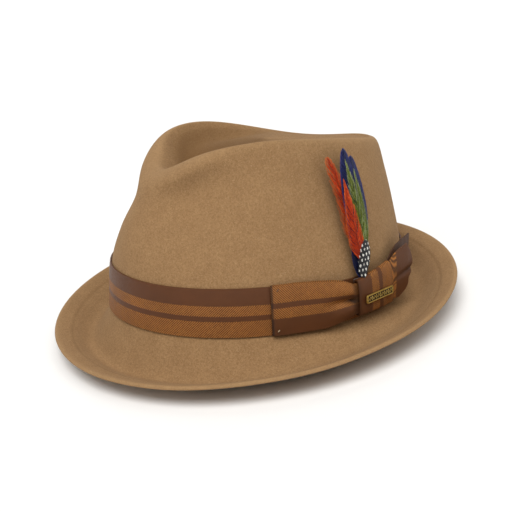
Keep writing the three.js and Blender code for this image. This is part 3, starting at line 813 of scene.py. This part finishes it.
def badgeSurface():
    # A bar with rounded corners. Its front is a height over length and height: a raised border, and in
    # the recess a row of lozenges between upright bars.
    halfX, halfY, corner = badgeLook["length"] / 2, badgeLook["height"] / 2, badgeLook["round"]
    x = np.linspace(-halfX, halfX, 210)[None] + np.zeros((44, 1))
    y = np.linspace(-halfY, halfY, 44)[:, None] + np.zeros((1, 210))
    cx, cy = np.clip(x, corner - halfX, halfX - corner), np.clip(y, corner - halfY, halfY - corner)
    dx, dy = x - cx, y - cy
    longest = np.maximum(np.abs(dx), np.abs(dy))
    size = np.maximum(np.hypot(dx, dy), 1e-9)
    px, py = cx + dx * longest / size, cy + dy * longest / size
    inset = np.minimum(halfX - np.abs(x), halfY - np.abs(y))
    rim = 1 - smooth((inset - badgeLook["border"]) / 0.18)
    cell = (x / badgeLook["repeat"] + 0.5) % 1 - 0.5
    cell = cell * badgeLook["repeat"]
    lozenge = np.abs(np.abs(cell) / 1.25 + np.abs(y) / 1.7 - 0.74)
    motif = smooth((0.27 - lozenge) / 0.14)
    fromBar = np.abs(np.abs(cell) - badgeLook["repeat"] / 2)
    bar = smooth((0.3 - fromBar) / 0.12) * smooth((1.45 - np.abs(y)) / 0.2)
    raised = np.clip(rim + 0.85 * np.maximum(motif, bar) * (inset > badgeLook["border"]), 0, 1)
    soft = smooth(inset / 0.22)
    front = badgeLook["thickness"] - badgeLook["recess"] * (1 - raised) - 0.2 * (1 - soft)
    angle = bow["knotAngle"] + bow["knotSpan"] * bow["badgeShare"]
    at = wall(angle, bandLook["height"] * 0.47, knotFront + gap)
    out = oval(angle, 1, 0) - oval(angle, 0, 0)
    side = np.array([-out[1], out[0], 0])
    spot = lambda h: at + px[..., None] * side + py[..., None] * np.array([0, 0, 1.0]) + h[..., None] * out
    grid = sheetRing(spot(front), spot(0 * front))
    deep = np.concatenate([1 - raised, 0 * raised], 1)[None]
    return closedSurfaces("badge", grid, values={"fold": deep}, cap="ladder")


def brassFinish():
    # polished brass on what stands up, dark patina in the recess, fine scratches and worn rims
    f = Finish("agedBrass")
    where = f.place()
    cloud = f.noise(where, 0.5, 4.0, 0.6)
    scratch = f.noise(f.place((1, 1, 9)), 1.2, 3.0, 0.7)
    bright = f.mix(f.range(cloud, 0.35, 0.7), "d8bb6a", "b08f42")
    tone = f.mix(f.value("fold"), bright, "1c1509")
    rough = f.plus(f.range(scratch, 0.3, 0.7, 0.22, 0.42), f.times(f.value("fold"), 0.3))
    metal = f.minus(0.9, f.times(f.value("fold"), 0.5))
    return f.done(Base_Color=tone, Metallic=metal, Roughness=rough, Normal=f.bump(scratch, 0.03))


piece("badge", badgeSurface(), brassFinish(), "hat", "badge_brass", "badge", sharp=45)

print("feathers")
bunch = {
    "angle": 102.3,
    "reach": 4,
    "cup": 0.012,  # how fast the vanes curve in towards the crown at their sides
    "barbRows": 6,
    "seed": 7,
}
pocketMiddle = overBand + bow["pocketDepth"] / 2
bunchFoot = wall(bunch["angle"], bandLook["height"], pocketMiddle + 1)
bunchTop = np.array([hatShape["ridgeWidth"] / 2 + 11, bunchFoot[1], hatShape["crownHeight"] + bunch["reach"]])
bunchControls = np.stack([bunchFoot, wall(bunch["angle"] - 0.4, hatShape["crownHeight"] * 0.62, 8), bunchTop])
bunchAcross = unit(wall(bunch["angle"] + 1, 0, 0) - wall(bunch["angle"] - 1, 0, 0))
bunchOut = np.array([bunchAcross[1], -bunchAcross[0], 0])
bunchLength = np.linalg.norm(bunchTop - bunchFoot)
chance = np.random.default_rng(bunch["seed"])


def bunchPoint(share, aside, lift):
    # a point of the bunch: a share of its centre line, a distance aside and one away from the crown
    shape = np.shape(share)
    line = smoothThrough(bunchControls[:, None, :], np.ravel(share)[:, None])[:, 0].reshape(*shape, 3)
    depth = lift - bunch["cup"] * aside**2
    return line + np.asarray(aside)[..., None] * bunchAcross + np.asarray(depth)[..., None] * bunchOut


def barbs(vane):
    # One vane's barbs. Each leaves the shaft, swings out to the vane's outline and thins to a point:
    # aside = shaft + side * width * (1 - (1 - q)^1.6), with q from 0 at its root to 1 at its tip.
    many = vane["count"]
    low, high = vane["share"]
    side = np.tile([-1.0, 1.0], many)
    root = np.repeat(np.linspace(0, 0.985, many), 2) + chance.uniform(-0.3, 0.3, 2 * many) / many
    root = np.clip(root, 0, 0.99)
    loose = vane.get("loose", 0.0)
    rise = vane["rise"] * (1 + loose * chance.uniform(-0.6, 0.8, 2 * many)) / ((high - low) * bunchLength)
    end = root + (1 - root) * (1 - np.exp(-rise / (1 - root)))
    x = np.clip(end, 0, 1)
    before = np.sin(np.minimum(x / vane["widest"], 1) * math.pi / 2)
    after = np.cos(np.clip((x - vane["widest"]) / (1 - vane["widest"]), 0, 1) * math.pi / 2)
    width = np.where(side < 0, *vane["width"]) * np.minimum(before**0.7, after ** vane.get("point", 0.9))
    width = width * (1 + loose * chance.uniform(-0.45, 0.3, 2 * many))
    q = np.linspace(0, 1, bunch["barbRows"])[None]
    place = lerp(root[:, None], end[:, None], q)
    share = lerp(low, high, place)
    shaft = np.interp(share, vane["axis"][0], vane["axis"][1])
    aside = shaft + side[:, None] * width[:, None] * (1 - (1 - q) ** 1.6)
    wander = loose * chance.uniform(-0.5, 0.5, (2 * many, 1)) * q**2
    lift = vane["lift"] + chance.uniform(-0.12, 0.12, (2 * many, 1)) + wander + 0.3 * (1 - q)
    line = bunchPoint(share, aside, lift)
    along = unit(np.gradient(line, axis=1))
    flat = unit(np.cross(bunchOut, along))
    thick = vane["barb"] * (1 - 0.72 * q**1.5)[..., None]
    spine = line + bunchOut * 0.14 * (1 - 0.5 * q)[..., None]
    ring = np.stack([line + flat * thick / 2, line - flat * thick / 2, spine], 2)
    uv = np.repeat(vector(aside, share * bunchLength)[:, :, None], 4, 2)
    tint = np.broadcast_to(chance.uniform(0, 1, (2 * many, 1, 1)), ring.shape[:3])
    tip = np.broadcast_to(q[..., None], ring.shape[:3])
    return ring, uv, tint, tip


def shaftTube(vane, thick):
    # the vane's shaft, a thin tapered tube from under its foot to near its tip
    share = np.linspace(vane["share"][0] - 0.01, lerp(*vane["share"], 0.9), 30)
    aside = np.interp(share, vane["axis"][0], vane["axis"][1])
    line = bunchPoint(share, aside, vane["lift"] + 0.42 + 0 * share)
    turn = np.linspace(0, 2 * math.pi, 9)[:-1]
    radius = thick * (1 - 0.8 * np.linspace(0, 1, 30)) [:, None, None]
    ring = line[:, None] + radius * (np.cos(turn)[:, None] * bunchAcross + np.sin(turn)[:, None] * bunchOut)
    return ring[None]


def featherPiece(name, vanes, finish, shaftFinish, slot, node):
    parts = [barbs(vane) for vane in vanes]
    grid, uv, tint, tip = (np.concatenate([part[k] for part in parts]) for k in range(4))
    mesh = closedSurfaces(name, grid, uv, {"tint": tint, "tip": tip})
    piece(name, mesh, finish, "feather_mount", slot, node)
    shafts = np.concatenate([shaftTube(vane, 0.2) for vane in vanes])
    piece(name + "Shaft", closedSurfaces(name + "Shaft", shafts), shaftFinish, "feather_mount", slot)


def featherFinish(name, dark, main, pale, tips, rough=0.5):
    # each barb has its own mix of dark, main and pale, and its end turns to the tips' colour
    f = Finish(name)
    tint, tip = f.value("tint"), f.value("tip")
    tone = f.ramp(tint, (0.0, dark), (0.45, main), (0.8, main), (1.0, pale))
    tone = f.mix(f.range(tip, 0.55, 1.0), tone, tips)
    streak = f.noise(f.place((1, 1, 0.25)), 1.6, 2.0, 0.6)
    tone = f.mix(f.range(streak, 0.4, 0.7, 0.0, 0.45), tone, dark)
    return f.done(
        Base_Color=tone,
        Roughness=f.range(streak, 0.3, 0.7, rough - 0.08, rough + 0.12),
        Normal=f.bump(streak, 0.05),
        Sheen_Weight=0.1,
        Sheen_Roughness=0.35,
        Sheen_Tint=pale,
        Specular_IOR_Level=0.25,
    )


def spottedFinish():
    # Black with white dots in staggered rows: an ellipse in each cell of a grid over the vane.
    f = Finish("spottedFeather")
    across, along = f.weave()
    row = f.over(along, 3.7)
    stagger = f.times(f.calc("MODULO", f.calc("FLOOR", f.plus(row, 40.0)), 2.0), 0.5)
    column = f.plus(f.over(across, 3.1), stagger)
    dx = f.minus(f.calc("FRACT", f.plus(column, 40.1)), 0.5)
    dy = f.minus(f.calc("FRACT", f.plus(row, 40.0)), 0.5)
    wide = f.calc("POWER", f.over(dx, 0.24), 2.0)
    tall = f.calc("POWER", f.over(dy, 0.36), 2.0)
    uneven = f.range(f.noise(f.place(), 0.35, 2.0, 0.6), 0.35, 0.65, 0.25, 1.25)
    dot = f.calc("LESS_THAN", f.plus(wide, tall), uneven)
    black = f.ramp(f.value("tint"), (0.0, "0b0b0d"), (1.0, "1e1e24"))
    tone = f.mix(dot, black, "d6d5cd")
    downy = f.noise(f.place(), 1.5, 2.0, 0.6)
    tone = f.mix(f.range(downy, 0.6, 0.75, 0.0, 0.3), tone, "5a5a5c")
    return f.done(Base_Color=tone, Roughness=f.range(downy, 0.3, 0.7, 0.42, 0.6), Normal=f.bump(downy, 0.04))


def shaftFinish(name, dark, pale):
    # horn in dark and pale, with fine lines along it
    f = Finish(name)
    grainy = f.noise(f.place((6, 6, 0.6)), 1.0, 2.0, 0.5)
    tone = f.mix(f.range(grainy, 0.35, 0.65), dark, pale)
    return f.done(Base_Color=tone, Roughness=f.range(grainy, 0.3, 0.7, 0.3, 0.5), Normal=f.bump(grainy, 0.03))


blueVanes = [
    {"share": (0.0, 0.99), "axis": ([0.0, 0.5, 0.8, 1.0], [0.5, 3.6, 5.0, 6.2]), "width": (7.8, 8.0),
     "widest": 0.62, "rise": 9.0, "count": 130, "barb": 0.9, "lift": 0.9, "point": 0.5},
    {"share": (0.0, 0.925), "axis": ([0.0, 0.45, 0.75, 1.0], [2.5, 8.4, 11.0, 13.4]), "width": (7.4, 9.0),
     "widest": 0.62, "rise": 9.0, "count": 124, "barb": 0.9, "lift": 0.3, "point": 0.5},
]
greenVanes = [
    {"share": (0.16, 0.92), "axis": ([0.0, 0.3, 0.6, 1.0], [3.6, 6.0, 5.8, 4.4]), "width": (4.6, 4.8),
     "widest": 0.45, "rise": 12.0, "count": 96, "barb": 0.36, "lift": 2.1, "loose": 0.7},
    {"share": (0.2, 0.84), "axis": ([0.0, 0.3, 0.6, 1.0], [6.0, 9.4, 11.0, 11.6]), "width": (4.0, 3.6),
     "widest": 0.4, "rise": 12.0, "count": 80, "barb": 0.32, "lift": 1.7, "loose": 0.7},
]
orangeVanes = [
    {"share": (0.14, 0.95), "axis": ([0.1, 0.3, 0.45, 0.65, 0.8, 0.95], [3.0, 1.2, -0.2, -1.8, -4.2, -7.0]),
     "width": (6.0, 4.6), "widest": 0.4, "rise": 14.0, "count": 150, "barb": 0.3, "lift": 0.1,
     "loose": 0.8, "point": 0.35},
    {"share": (0.1, 0.8), "axis": ([0.1, 0.3, 0.5, 0.8], [2.6, 0.2, -1.0, -1.4]), "width": (6.2, 5.2),
     "widest": 0.34, "rise": 12.0, "count": 110, "barb": 0.42, "lift": 3.1, "loose": 0.45},
]
darkVanes = [
    {"share": (-0.05, 0.42), "axis": ([0.0, 0.2, 0.44], [0.4, -0.4, -2.2]), "width": (4.0, 3.6),
     "widest": 0.4, "rise": 6.0, "count": 66, "barb": 0.75, "lift": 1.5},
]
spottedVanes = [
    {"share": (-0.05, 0.31), "axis": ([0.0, 0.15, 0.31], [1.8, 4.6, 6.2]), "width": (5.2, 5.8),
     "widest": 0.5, "rise": 5.0, "count": 66, "barb": 0.75, "lift": 3.7, "point": 0.45, "loose": 0.15},
]
blueHorn = shaftFinish("blueHorn", "0a0d26", "141a44")
greenHorn = shaftFinish("greenHorn", "2c3613", "55632f")
orangeHorn = shaftFinish("orangeHorn", "6a1707", "9a3010")
blackHorn = shaftFinish("blackHorn", "0a0a0c", "222226")
paleHorn = shaftFinish("paleHorn", "8a7c5c", "b8ac8a")
blueFeather = featherFinish("blueFeather", "090d2c", "141a4a", "1e2868", "1b2460")
greenFeather = featherFinish("greenFeather", "2c330c", "67741c", "a5ab7c", "989e74")
orangeFeather = featherFinish("orangeFeather", "701604", "b23206", "d8520f", "d0601f", 0.6)
navyFeather = featherFinish("navyFeather", "06081a", "0d1130", "182050", "101540")
featherPiece("featherBlue", blueVanes, blueFeather, blueHorn, "feather_blue", "feather_blue")
featherPiece("featherDark", darkVanes, navyFeather, blueHorn, "feather_dark", "feather_dark")
featherPiece("featherGreen", greenVanes, greenFeather, greenHorn, "feather_green", "feather_green")
featherPiece("featherOrange", orangeVanes, orangeFeather, orangeHorn, "feather_orange", "feather_orange")
featherPiece("featherSpotted", spottedVanes, spottedFinish(), blackHorn, "feather_spotted", "feather_spotted")


def stemSurface(name, width, depth, low, high, ripple, pitch, taper):
    # an oval tube in the pocket behind the knot; ripple stands out at each turn of thread
    height = np.linspace(low, high, 90)[:, None]
    turn = np.linspace(0, 2 * math.pi, 33)[:-1][None]
    share = (height - low) / (high - low)
    slim = 1 - taper * (1 - share)
    wound = ripple * np.abs(np.sin(math.pi * (height / pitch + turn / (2 * math.pi))))
    x = (width / 2 * slim + wound) * np.cos(turn)
    out = (depth / 2 * slim + wound) * np.sin(turn)
    grid = wall(bunch["angle"], height, pocketMiddle + out) + x[..., None] * bunchAcross
    return closedSurfaces(name, grid[None])


def threadFinish(name, dark, pale):
    # twisted thread: slanting bands of two shades
    f = Finish(name)
    twist = f.noise(f.place((1, 1, 4)), 1.6, 3.0, 0.6)
    tone = f.mix(f.range(twist, 0.35, 0.65), dark, pale)
    return f.done(
        Base_Color=tone,
        Roughness=f.range(twist, 0.3, 0.7, 0.55, 0.75),
        Normal=f.bump(twist, 0.06),
        Sheen_Weight=0.2,
    )


brownThread = threadFinish("brownThread", "20140b", "4a3019")
piece(
    "featherBinding", stemSurface("featherBinding", 5.6, 1.4, 18.0, 25.6, 0.12, 0.55, 0.15),
    brownThread, "feather_mount", "thread", "feather_binding",
)
piece(
    "featherQuill", stemSurface("featherQuill", 3.3, 1.3, 7, 17.4, 0.0, 1.0, 0.55),
    paleHorn, "feather_mount", "quill", "feather_quill",
)

print("inside")
inside = {
    "clearance": 0.7,
    "sweatbandHeight": 36,
    "sweatbandThickness": 1.0,
    "reedDiameter": 1.6,
    "tapeThickness": 0.5,
    "liningThickness": 0.6,
    "liningDrop": 33,
    "liningInset": 14,
    "gathers": 64,
}
behindLeather = hatShape["feltThickness"] + inside["liningThickness"] + 2 * inside["clearance"]
leatherFace = behindLeather + inside["sweatbandThickness"]


def leatherFinish():
    # Colour: brown, darker in the pores and with slow clouding. Height: pores from a cell pattern
    # and fine creases.
    f = Finish("sweatbandLeather")
    where = f.place()
    cloud = f.noise(where, 0.12, 3.0, 0.6)
    pores = f.node("TexVoronoi", "Distance", Vector=where, Scale=1.1)
    crease = f.noise(f.place((1, 1, 3)), 0.5, 4.0, 0.65)
    tone = f.mix(f.range(cloud, 0.3, 0.7), "4a2c18", "6a4225")
    tone = f.mix(f.range(pores, 0.0, 0.35, 0.5, 0.0), tone, "2c190d")
    tone = f.mix(f.times(f.value("fold"), 0.6), tone, "23140a")
    height = f.plus(f.times(pores, 0.8), f.times(crease, 0.8))
    return f.done(
        Base_Color=tone,
        Roughness=f.range(crease, 0.3, 0.7, 0.42, 0.6),
        Normal=f.bump(height, 0.12),
        Specular_IOR_Level=0.4,
    )


def sweatbandSurface():
    # a strip inside the crown, its ends meeting at the back, with two pressed lines and a soft edge
    turn = np.linspace(180.13, 539.87, 300)[:, None]
    up = np.concatenate([[0, 0.006, 0.02], np.linspace(0.05, 0.95, 26), [0.98, 0.994, 1]])
    foot = inside["reedDiameter"] + 2 * inside["tapeThickness"] + 0.4
    height = lerp(foot, inside["sweatbandHeight"], up) + 0 * turn
    lines = 0.22 * (bell(height, 33.6, 0.45) + bell(height, 31.8, 0.45))
    pucker = 0.12 * np.sin(np.radians(turn) * 90) * bell(height, 4.2, 1.6)
    edge = 0.3 * (1 - smooth(np.minimum(up, 1 - up) / 0.02))
    front = wall(turn, height, -leatherFace + lines + edge + pucker)
    rear = wall(turn, height, -behindLeather - edge + 0 * height)
    grid = sheetRing(front, rear)
    fold = np.clip(lines / 0.22, 0, 1)
    fold = np.concatenate([fold, 0 * fold], 1)[None]
    return closedSurfaces("sweatband", grid, values={"fold": fold}, cap="ladder")


stitches = {"count": 200, "height": 4.6, "length": 2.0, "thickness": 0.42, "slant": 0.9}


def stitchRow(name, row):
    # short raised threads in a row round the band: each an arc from one hole to the next
    height, thick, slant, off = row["height"], row["thickness"], row["slant"], -leatherFace
    t = np.linspace(181.2, 538.8, row["count"])[:, None]
    q = np.linspace(0, 1, 7)[None]
    size = row["length"] / 95 * 180 / math.pi  # 95 mm from the middle to the band, on the average
    centre = wall(t + (q - 0.5) * size, height + (q - 0.5) * slant, off - thick * 0.9 * np.sin(math.pi * q))
    turn = np.linspace(0, 2 * math.pi, 6)[:-1]
    inward = unit(oval(t + 0 * q, -1, 0) - oval(t + 0 * q, 0, 0))
    radius = thick / 2 * (0.55 + 0.45 * np.sin(math.pi * q))[..., None, None]
    level = np.array([0, 0, 1.0])
    across = np.cos(turn)[:, None] * level + np.sin(turn)[:, None] * inward[:, :, None]
    ring = centre[:, :, None] + radius * across
    return closedSurfaces(name, ring)


reedHeight = inside["tapeThickness"] + gap + inside["reedDiameter"] / 2
reedMiddle = -(hatShape["feltThickness"] + gap + reedHeight)


def tapeSurface():
    # a tape folded to a U round the reed, open at its top
    t = np.arange(300)[:, None] * 1.2
    inner = inside["reedDiameter"] / 2 + gap
    q = np.linspace(0, 1, 17)
    top = inside["reedDiameter"] / 2
    leg = np.linspace(top, 0, 4)[:-1]
    bend = np.linspace(math.pi, 2 * math.pi, 11)
    def path(radius):
        x = np.concatenate([np.full(3, -radius), radius * np.cos(bend), np.full(3, radius)])
        z = np.concatenate([leg, radius * np.sin(bend), leg[::-1]])
        return reedHeight + z[None], reedMiddle + x[None]
    outerZ, outerX = path(inner + inside["tapeThickness"] - 0.02)
    innerZ, innerX = path(inner)
    ribs = 0.04 * np.sin(np.radians(t) * 260)
    outside = wall(t, outerZ + 0 * t, outerX + ribs * np.sign(outerX - reedMiddle))
    grid = sheetRing(outside, wall(t, innerZ + 0 * t, innerX + 0 * t))
    return closedSurfaces("reedTape", grid, loop=True)


def liningFinish(name, foldShadeStrength):
    # Satin: fine threads in two directions, slow clouding, and painted shade in the folds of the gathers and
    # along the quilting lines
    f = Finish(name)
    warp = f.noise(f.place((5, 5, 0.4)), 1.1, 2.0, 0.5)
    weft = f.noise(f.place((0.4, 0.4, 6)), 1.1, 2.0, 0.5)
    cloud = f.noise(f.place(), 0.06, 3.0, 0.5)
    tone = f.mix(f.range(cloud, 0.3, 0.7), "4a3826", "5c4731")
    tone = f.mix(f.range(warp, 0.4, 0.7, 0.0, 0.3), tone, "755d43")
    # painted shade where the fold value is high, stronger on the side than on the top
    tone = f.mix(f.times(f.value("fold"), foldShadeStrength), tone, "1f160d")
    height = f.plus(warp, weft)
    return f.done(
        Base_Color=tone,
        Roughness=f.range(weft, 0.3, 0.7, 0.34, 0.48),
        Normal=f.bump(height, 0.04),
        Sheen_Weight=0.3,
        Sheen_Roughness=0.3,
        Specular_IOR_Level=0.5,
    )


def liningSideSurface():
    # Rows of height and distance from the wall, with gathers that grow towards the flat top:
    # off - gather * sin(gathers * t)
    t = np.arange(384) * 360 / 384
    top = hatShape["crownHeight"] - inside["liningDrop"]
    off = -(hatShape["feltThickness"] + inside["clearance"])
    band = inside["sweatbandHeight"]
    rows = np.array([
        [band * 0.25, off],
        [band * 0.6, off],
        [band, off],
        [lerp(band, top, 0.15), off - inside["liningInset"] * 0.1],
        [lerp(band, top, 0.4), off - inside["liningInset"] * 0.26],
        [lerp(band, top, 0.75), off - inside["liningInset"] * 0.5],
        [top, 0.4 - inside["liningInset"] + inside["liningThickness"]],
    ])
    u = np.linspace(0, 1, 40)[:, None]
    line = smoothThrough(rows[:, None], u)[:, 0]
    height, out = line[:, :1], line[:, 1:]
    growth = smooth((height - band) / (top - band)) * (1 - 0.5 * smooth((height - top + 3) / 3))
    a = np.radians(t)[None]
    ripple = np.sin(inside["gathers"] * a + 1.4 * np.sin(5 * a))
    inward = growth * 0.55 * (1 + ripple)
    front = wall(t[None], height, out - inside["liningThickness"] - inward)
    rear = wall(t[None], height, out - inward * 0.9)
    grid = np.concatenate([rear, front[::-1]])[None]
    # painted shade in the hollows of the gathers
    fold = np.clip(growth * (0.5 - 0.5 * ripple), 0, 1)
    fold = np.concatenate([0 * fold, fold[::-1]])[None]
    return closedSurfaces("liningSide", grid, values={"fold": fold}, loop=True)


def liningTipSurface():
    # the flat top, quilted by two stitched ovals and sagging a little in the middle
    t = np.arange(160) * 2.25
    top = hatShape["crownHeight"] - inside["liningDrop"]
    rim = wall(t, top, -inside["liningInset"])
    centre = np.array([0, 4.0, top])
    share = np.linspace(1, 0.03, 42)[:, None, None]
    flat = lerp(centre, rim[None], share)
    s = share[..., 0]
    stitched = 0.3 * (bell(s, 0.82, 0.012) + bell(s, 0.5, 0.014))
    puff = 0.35 * np.abs(np.sin(s * 9.0)) * smooth(s * 4)
    level = np.array([0, 0, 1.0])
    lower = flat + level * (stitched - puff * 0.5 + 0.2)[..., None]
    upper = flat + level * inside["liningThickness"]
    grid = np.concatenate([upper[::-1], lower])[None]
    # painted shade along the quilting lines
    fold = np.broadcast_to(np.clip(stitched / 0.3, 0, 1), (42, 160))
    return closedSurfaces("liningTip", grid, values={"fold": np.concatenate([0 * fold, fold])[None]})


def sweatbandBowSurface():
    # a flat bow: two loops and a pinched middle, height half = 4 (0.3 + 0.7 smooth(1.6 |x|))
    x = np.linspace(-1, 1, 60)[:, None]
    y = np.linspace(-1, 1, 15)[None]
    tall = 4 * (0.3 + 0.7 * smooth(np.abs(x) * 1.6))
    t = 180 + x * 12 / 103 * 180 / math.pi * (206 / 174)
    middle = inside["sweatbandHeight"] * 0.3
    puff = 0.25 * np.sin(np.pi * np.abs(x)) * (1 - y**2) + 0.12 * np.sin(y * 9) * bell(x, 0, 0.35)
    height = middle + tall * y
    behind = -leatherFace - gap
    front, rear = wall(t, height, behind - 0.7 - puff), wall(t, height, behind - puff * 0.5)
    across = np.broadcast_to((y + 1) / 2 * 0.2 + 0.72, height.shape)
    ringAcross = np.concatenate([across, across[:, ::-1], across[:, :1]], 1)
    ringAlong = np.broadcast_to(x * 12 + 12, ringAcross.shape)
    # painted shade in the creases of the pinched middle
    fold = np.broadcast_to(0.7 * bell(x, 0, 0.12) * np.abs(np.sin(y * 9)), height.shape)
    uv = np.stack([ringAlong, ringAcross], -1)[None]
    fold = np.concatenate([fold, fold[:, ::-1]], 1)[None]
    return closedSurfaces("sweatbandBow", sheetRing(front, rear), uv, {"fold": fold}, cap="ladder")


def plasticFinish():
    # milky plastic rod with faint drawing lines
    f = Finish("reedPlastic")
    lines = f.noise(f.place((1, 1, 8)), 0.8, 2.0, 0.5)
    tone = f.mix(f.range(lines, 0.3, 0.7), "a8a294", "bdb7a8")
    return f.done(Base_Color=tone, Roughness=f.range(lines, 0.3, 0.7, 0.3, 0.45), Normal=f.bump(lines, 0.02))


piece("sweatband", sweatbandSurface(), leatherFinish(), "hat", "sweatband_leather", "sweatband", sharp=60)
sandThread = threadFinish("sandThread", "6a5436", "9a8058")
piece("sweatbandStitches", stitchRow("sweatbandStitches", stitches), sandThread, "hat", "thread")
tapeWeave = threadFinish("tapeWeave", "3a2a1a", "5d452c")
piece("reedTape", tapeSurface(), tapeWeave, "hat", "tape", "reed_tape", sharp=60)
sideSatin = liningFinish("liningSatin", 0.7)
piece("liningSide", liningSideSurface(), sideSatin, "hat", "lining", "lining_side", sharp=70)
tipSatin = liningFinish("liningTipSatin", 0.5)
piece("liningTip", liningTipSurface(), tipSatin, "hat", "lining", "lining_tip", sharp=70)
# the bow inside the crown takes the ribbon darkened by painted shade
piece("sweatbandBow", sweatbandBowSurface(), shadedRibbon, "hat", "ribbon", "sweatband_bow", sharp=60)
reed = frame["nodes"]["sweatband_reed"]
reed.data.materials.clear()
reed.data.materials.append(plasticFinish())

print("tack stitches")


def tackSurface(name, t, height, off):
    # a short thread that comes up out of the ribbon and goes down again, with two twists
    q = np.linspace(0, 1, 14)[:, None]
    size = 1.5 / degree
    line = wall(t + (q - 0.5) * size * 0.7, height + (q - 0.5) * 1.3, off + 0.38 * np.sin(math.pi * q))[:, 0]
    turn = np.linspace(0, 2 * math.pi, 11)[:-1]
    out = oval(t, 1, 0) - oval(t, 0, 0)
    side = unit(np.cross(out, line[-1] - line[0]))
    radius = (0.24 + 0.05 * np.sin(turn * 2 + q * 16)) * np.sqrt(np.clip(1 - (2 * q - 1) ** 4, 0.05, 1))
    ring = line[:, None] + radius[..., None] * (np.cos(turn)[:, None] * side + np.sin(turn)[:, None] * out)
    return closedSurfaces(name, ring[None])


loopFront = overBand + 2 * (gap + bow["thickness"]) + 0.1
paleThread = threadFinish("paleThread", "8f7a5c", "c9b48f")
tacks = [
    ("tackStitchUpper", 71.7, 28.6, brownThread, "tack_stitch_upper"),
    ("tackStitchLower", 71.4, 3.9, paleThread, "tack_stitch_lower"),
]
for name, t, height, finish, node in tacks:
    piece(name, tackSurface(name, t, height, loopFront + 0.45), finish, "hat", "thread", node)

print("camera and light")
view = {
    "azimuth": 61.96,
    "elevation": 19.73,
    "roll": -2.02,
    "distance": 610.0,  # mm
    "lens": 62.19,
    "shift": (-0.0066, 0.0575),
}
azimuth, elevation, roll = (math.radians(view[k]) for k in ("azimuth", "elevation", "roll"))
back = np.array([
    math.sin(azimuth) * math.cos(elevation),
    -math.cos(azimuth) * math.cos(elevation),
    math.sin(elevation),
])
right = np.array([math.cos(azimuth), math.sin(azimuth), 0])
up = np.cross(back, right)
cameraX = math.cos(roll) * right + math.sin(roll) * up
cameraY = -math.sin(roll) * right + math.cos(roll) * up
place = np.eye(4)
place[:3, 0], place[:3, 1], place[:3, 2] = cameraX @ rowBasis, cameraY @ rowBasis, back @ rowBasis
place[:3, 3] = toRow(back * view["distance"])
cameraData = bpy.data.cameras.new("camera")
cameraData.lens = view["lens"]
cameraData.sensor_width = 36
cameraData.shift_x, cameraData.shift_y = view["shift"]
cameraData.clip_start = 0.01
camera = bpy.data.objects.new("camera", cameraData)
camera.matrix_world = Matrix(place.tolist())
bpy.context.scene.collection.objects.link(camera)
bpy.context.scene.camera = camera


def softSun(name, side, height, power, spread=40):
    # a soft sun so many degrees to the camera's left and above the floor
    a, e = azimuth - math.radians(side), math.radians(height)
    z = np.array([math.sin(a) * math.cos(e), -math.cos(a) * math.cos(e), math.sin(e)])
    x = unit(np.cross([0, 0, 1.0], z))
    data = bpy.data.lights.new(name, "SUN")
    data.angle, data.energy = math.radians(spread), power
    lamp = bpy.data.objects.new(name, data)
    turn = np.eye(4)
    turn[:3, 0], turn[:3, 1], turn[:3, 2], turn[:3, 3] = x, np.cross(z, x), z, z
    lamp.matrix_world = Matrix(turn.tolist())
    bpy.context.scene.collection.objects.link(lamp)


suns = {
    "keyLight": (12, 65, 2.45),
    "sideLight": (-45, 50, 0.85),
    "leftLight": (40, 45, 0.5),
    "backLight": (175, 50, 0.35),
}
for name, (side, height, power) in suns.items():
    softSun(name, side, height, power)

world = bpy.data.worlds.new("studio")
world.use_nodes = True
world.node_tree.nodes["Background"].inputs[0].default_value = (1.0, 0.99, 0.98, 1.0)
world.node_tree.nodes["Background"].inputs[1].default_value = 0.2
bpy.context.scene.world = world
bpy.context.scene.view_settings.view_transform = "Standard"

stage = {"flat": 12.0, "bend": 5.0, "sides": 96, "steps": 24}  # metres
bend = np.linspace(0, math.pi / 2, stage["steps"])[:, None]
reach = stage["flat"] + stage["bend"] * np.sin(bend)
rise = stage["bend"] * (1 - np.cos(bend))
turn = np.linspace(0, 2 * math.pi, stage["sides"] + 1)[None, :-1]
sweep = vector(reach * np.cos(turn), reach * np.sin(turn), rise + 0 * turn).reshape(-1, 3)
i, j = np.meshgrid(np.arange(stage["steps"] - 1), np.arange(stage["sides"]), indexing="ij")
k = (j + 1) % stage["sides"]
rings = np.stack([i, i, i + 1, i + 1], -1) * stage["sides"] + np.stack([k, j, j, k], -1)
floorMesh = bpy.data.meshes.new("floor")
floorMesh.from_pydata(sweep.tolist(), [], [list(range(stage["sides"]))] + rings.reshape(-1, 4).tolist())
floor = bpy.data.objects.new("floor", floorMesh)
bpy.context.scene.collection.objects.link(floor)
f = Finish("paleFloor")
grainy = f.noise(f.place(), 0.02, 2.0, 0.5)
floorTone = f.mix(grainy, "e9e8e6", "e6e5e3")
floorMesh.materials.append(f.done(Base_Color=floorTone, Roughness=0.9))
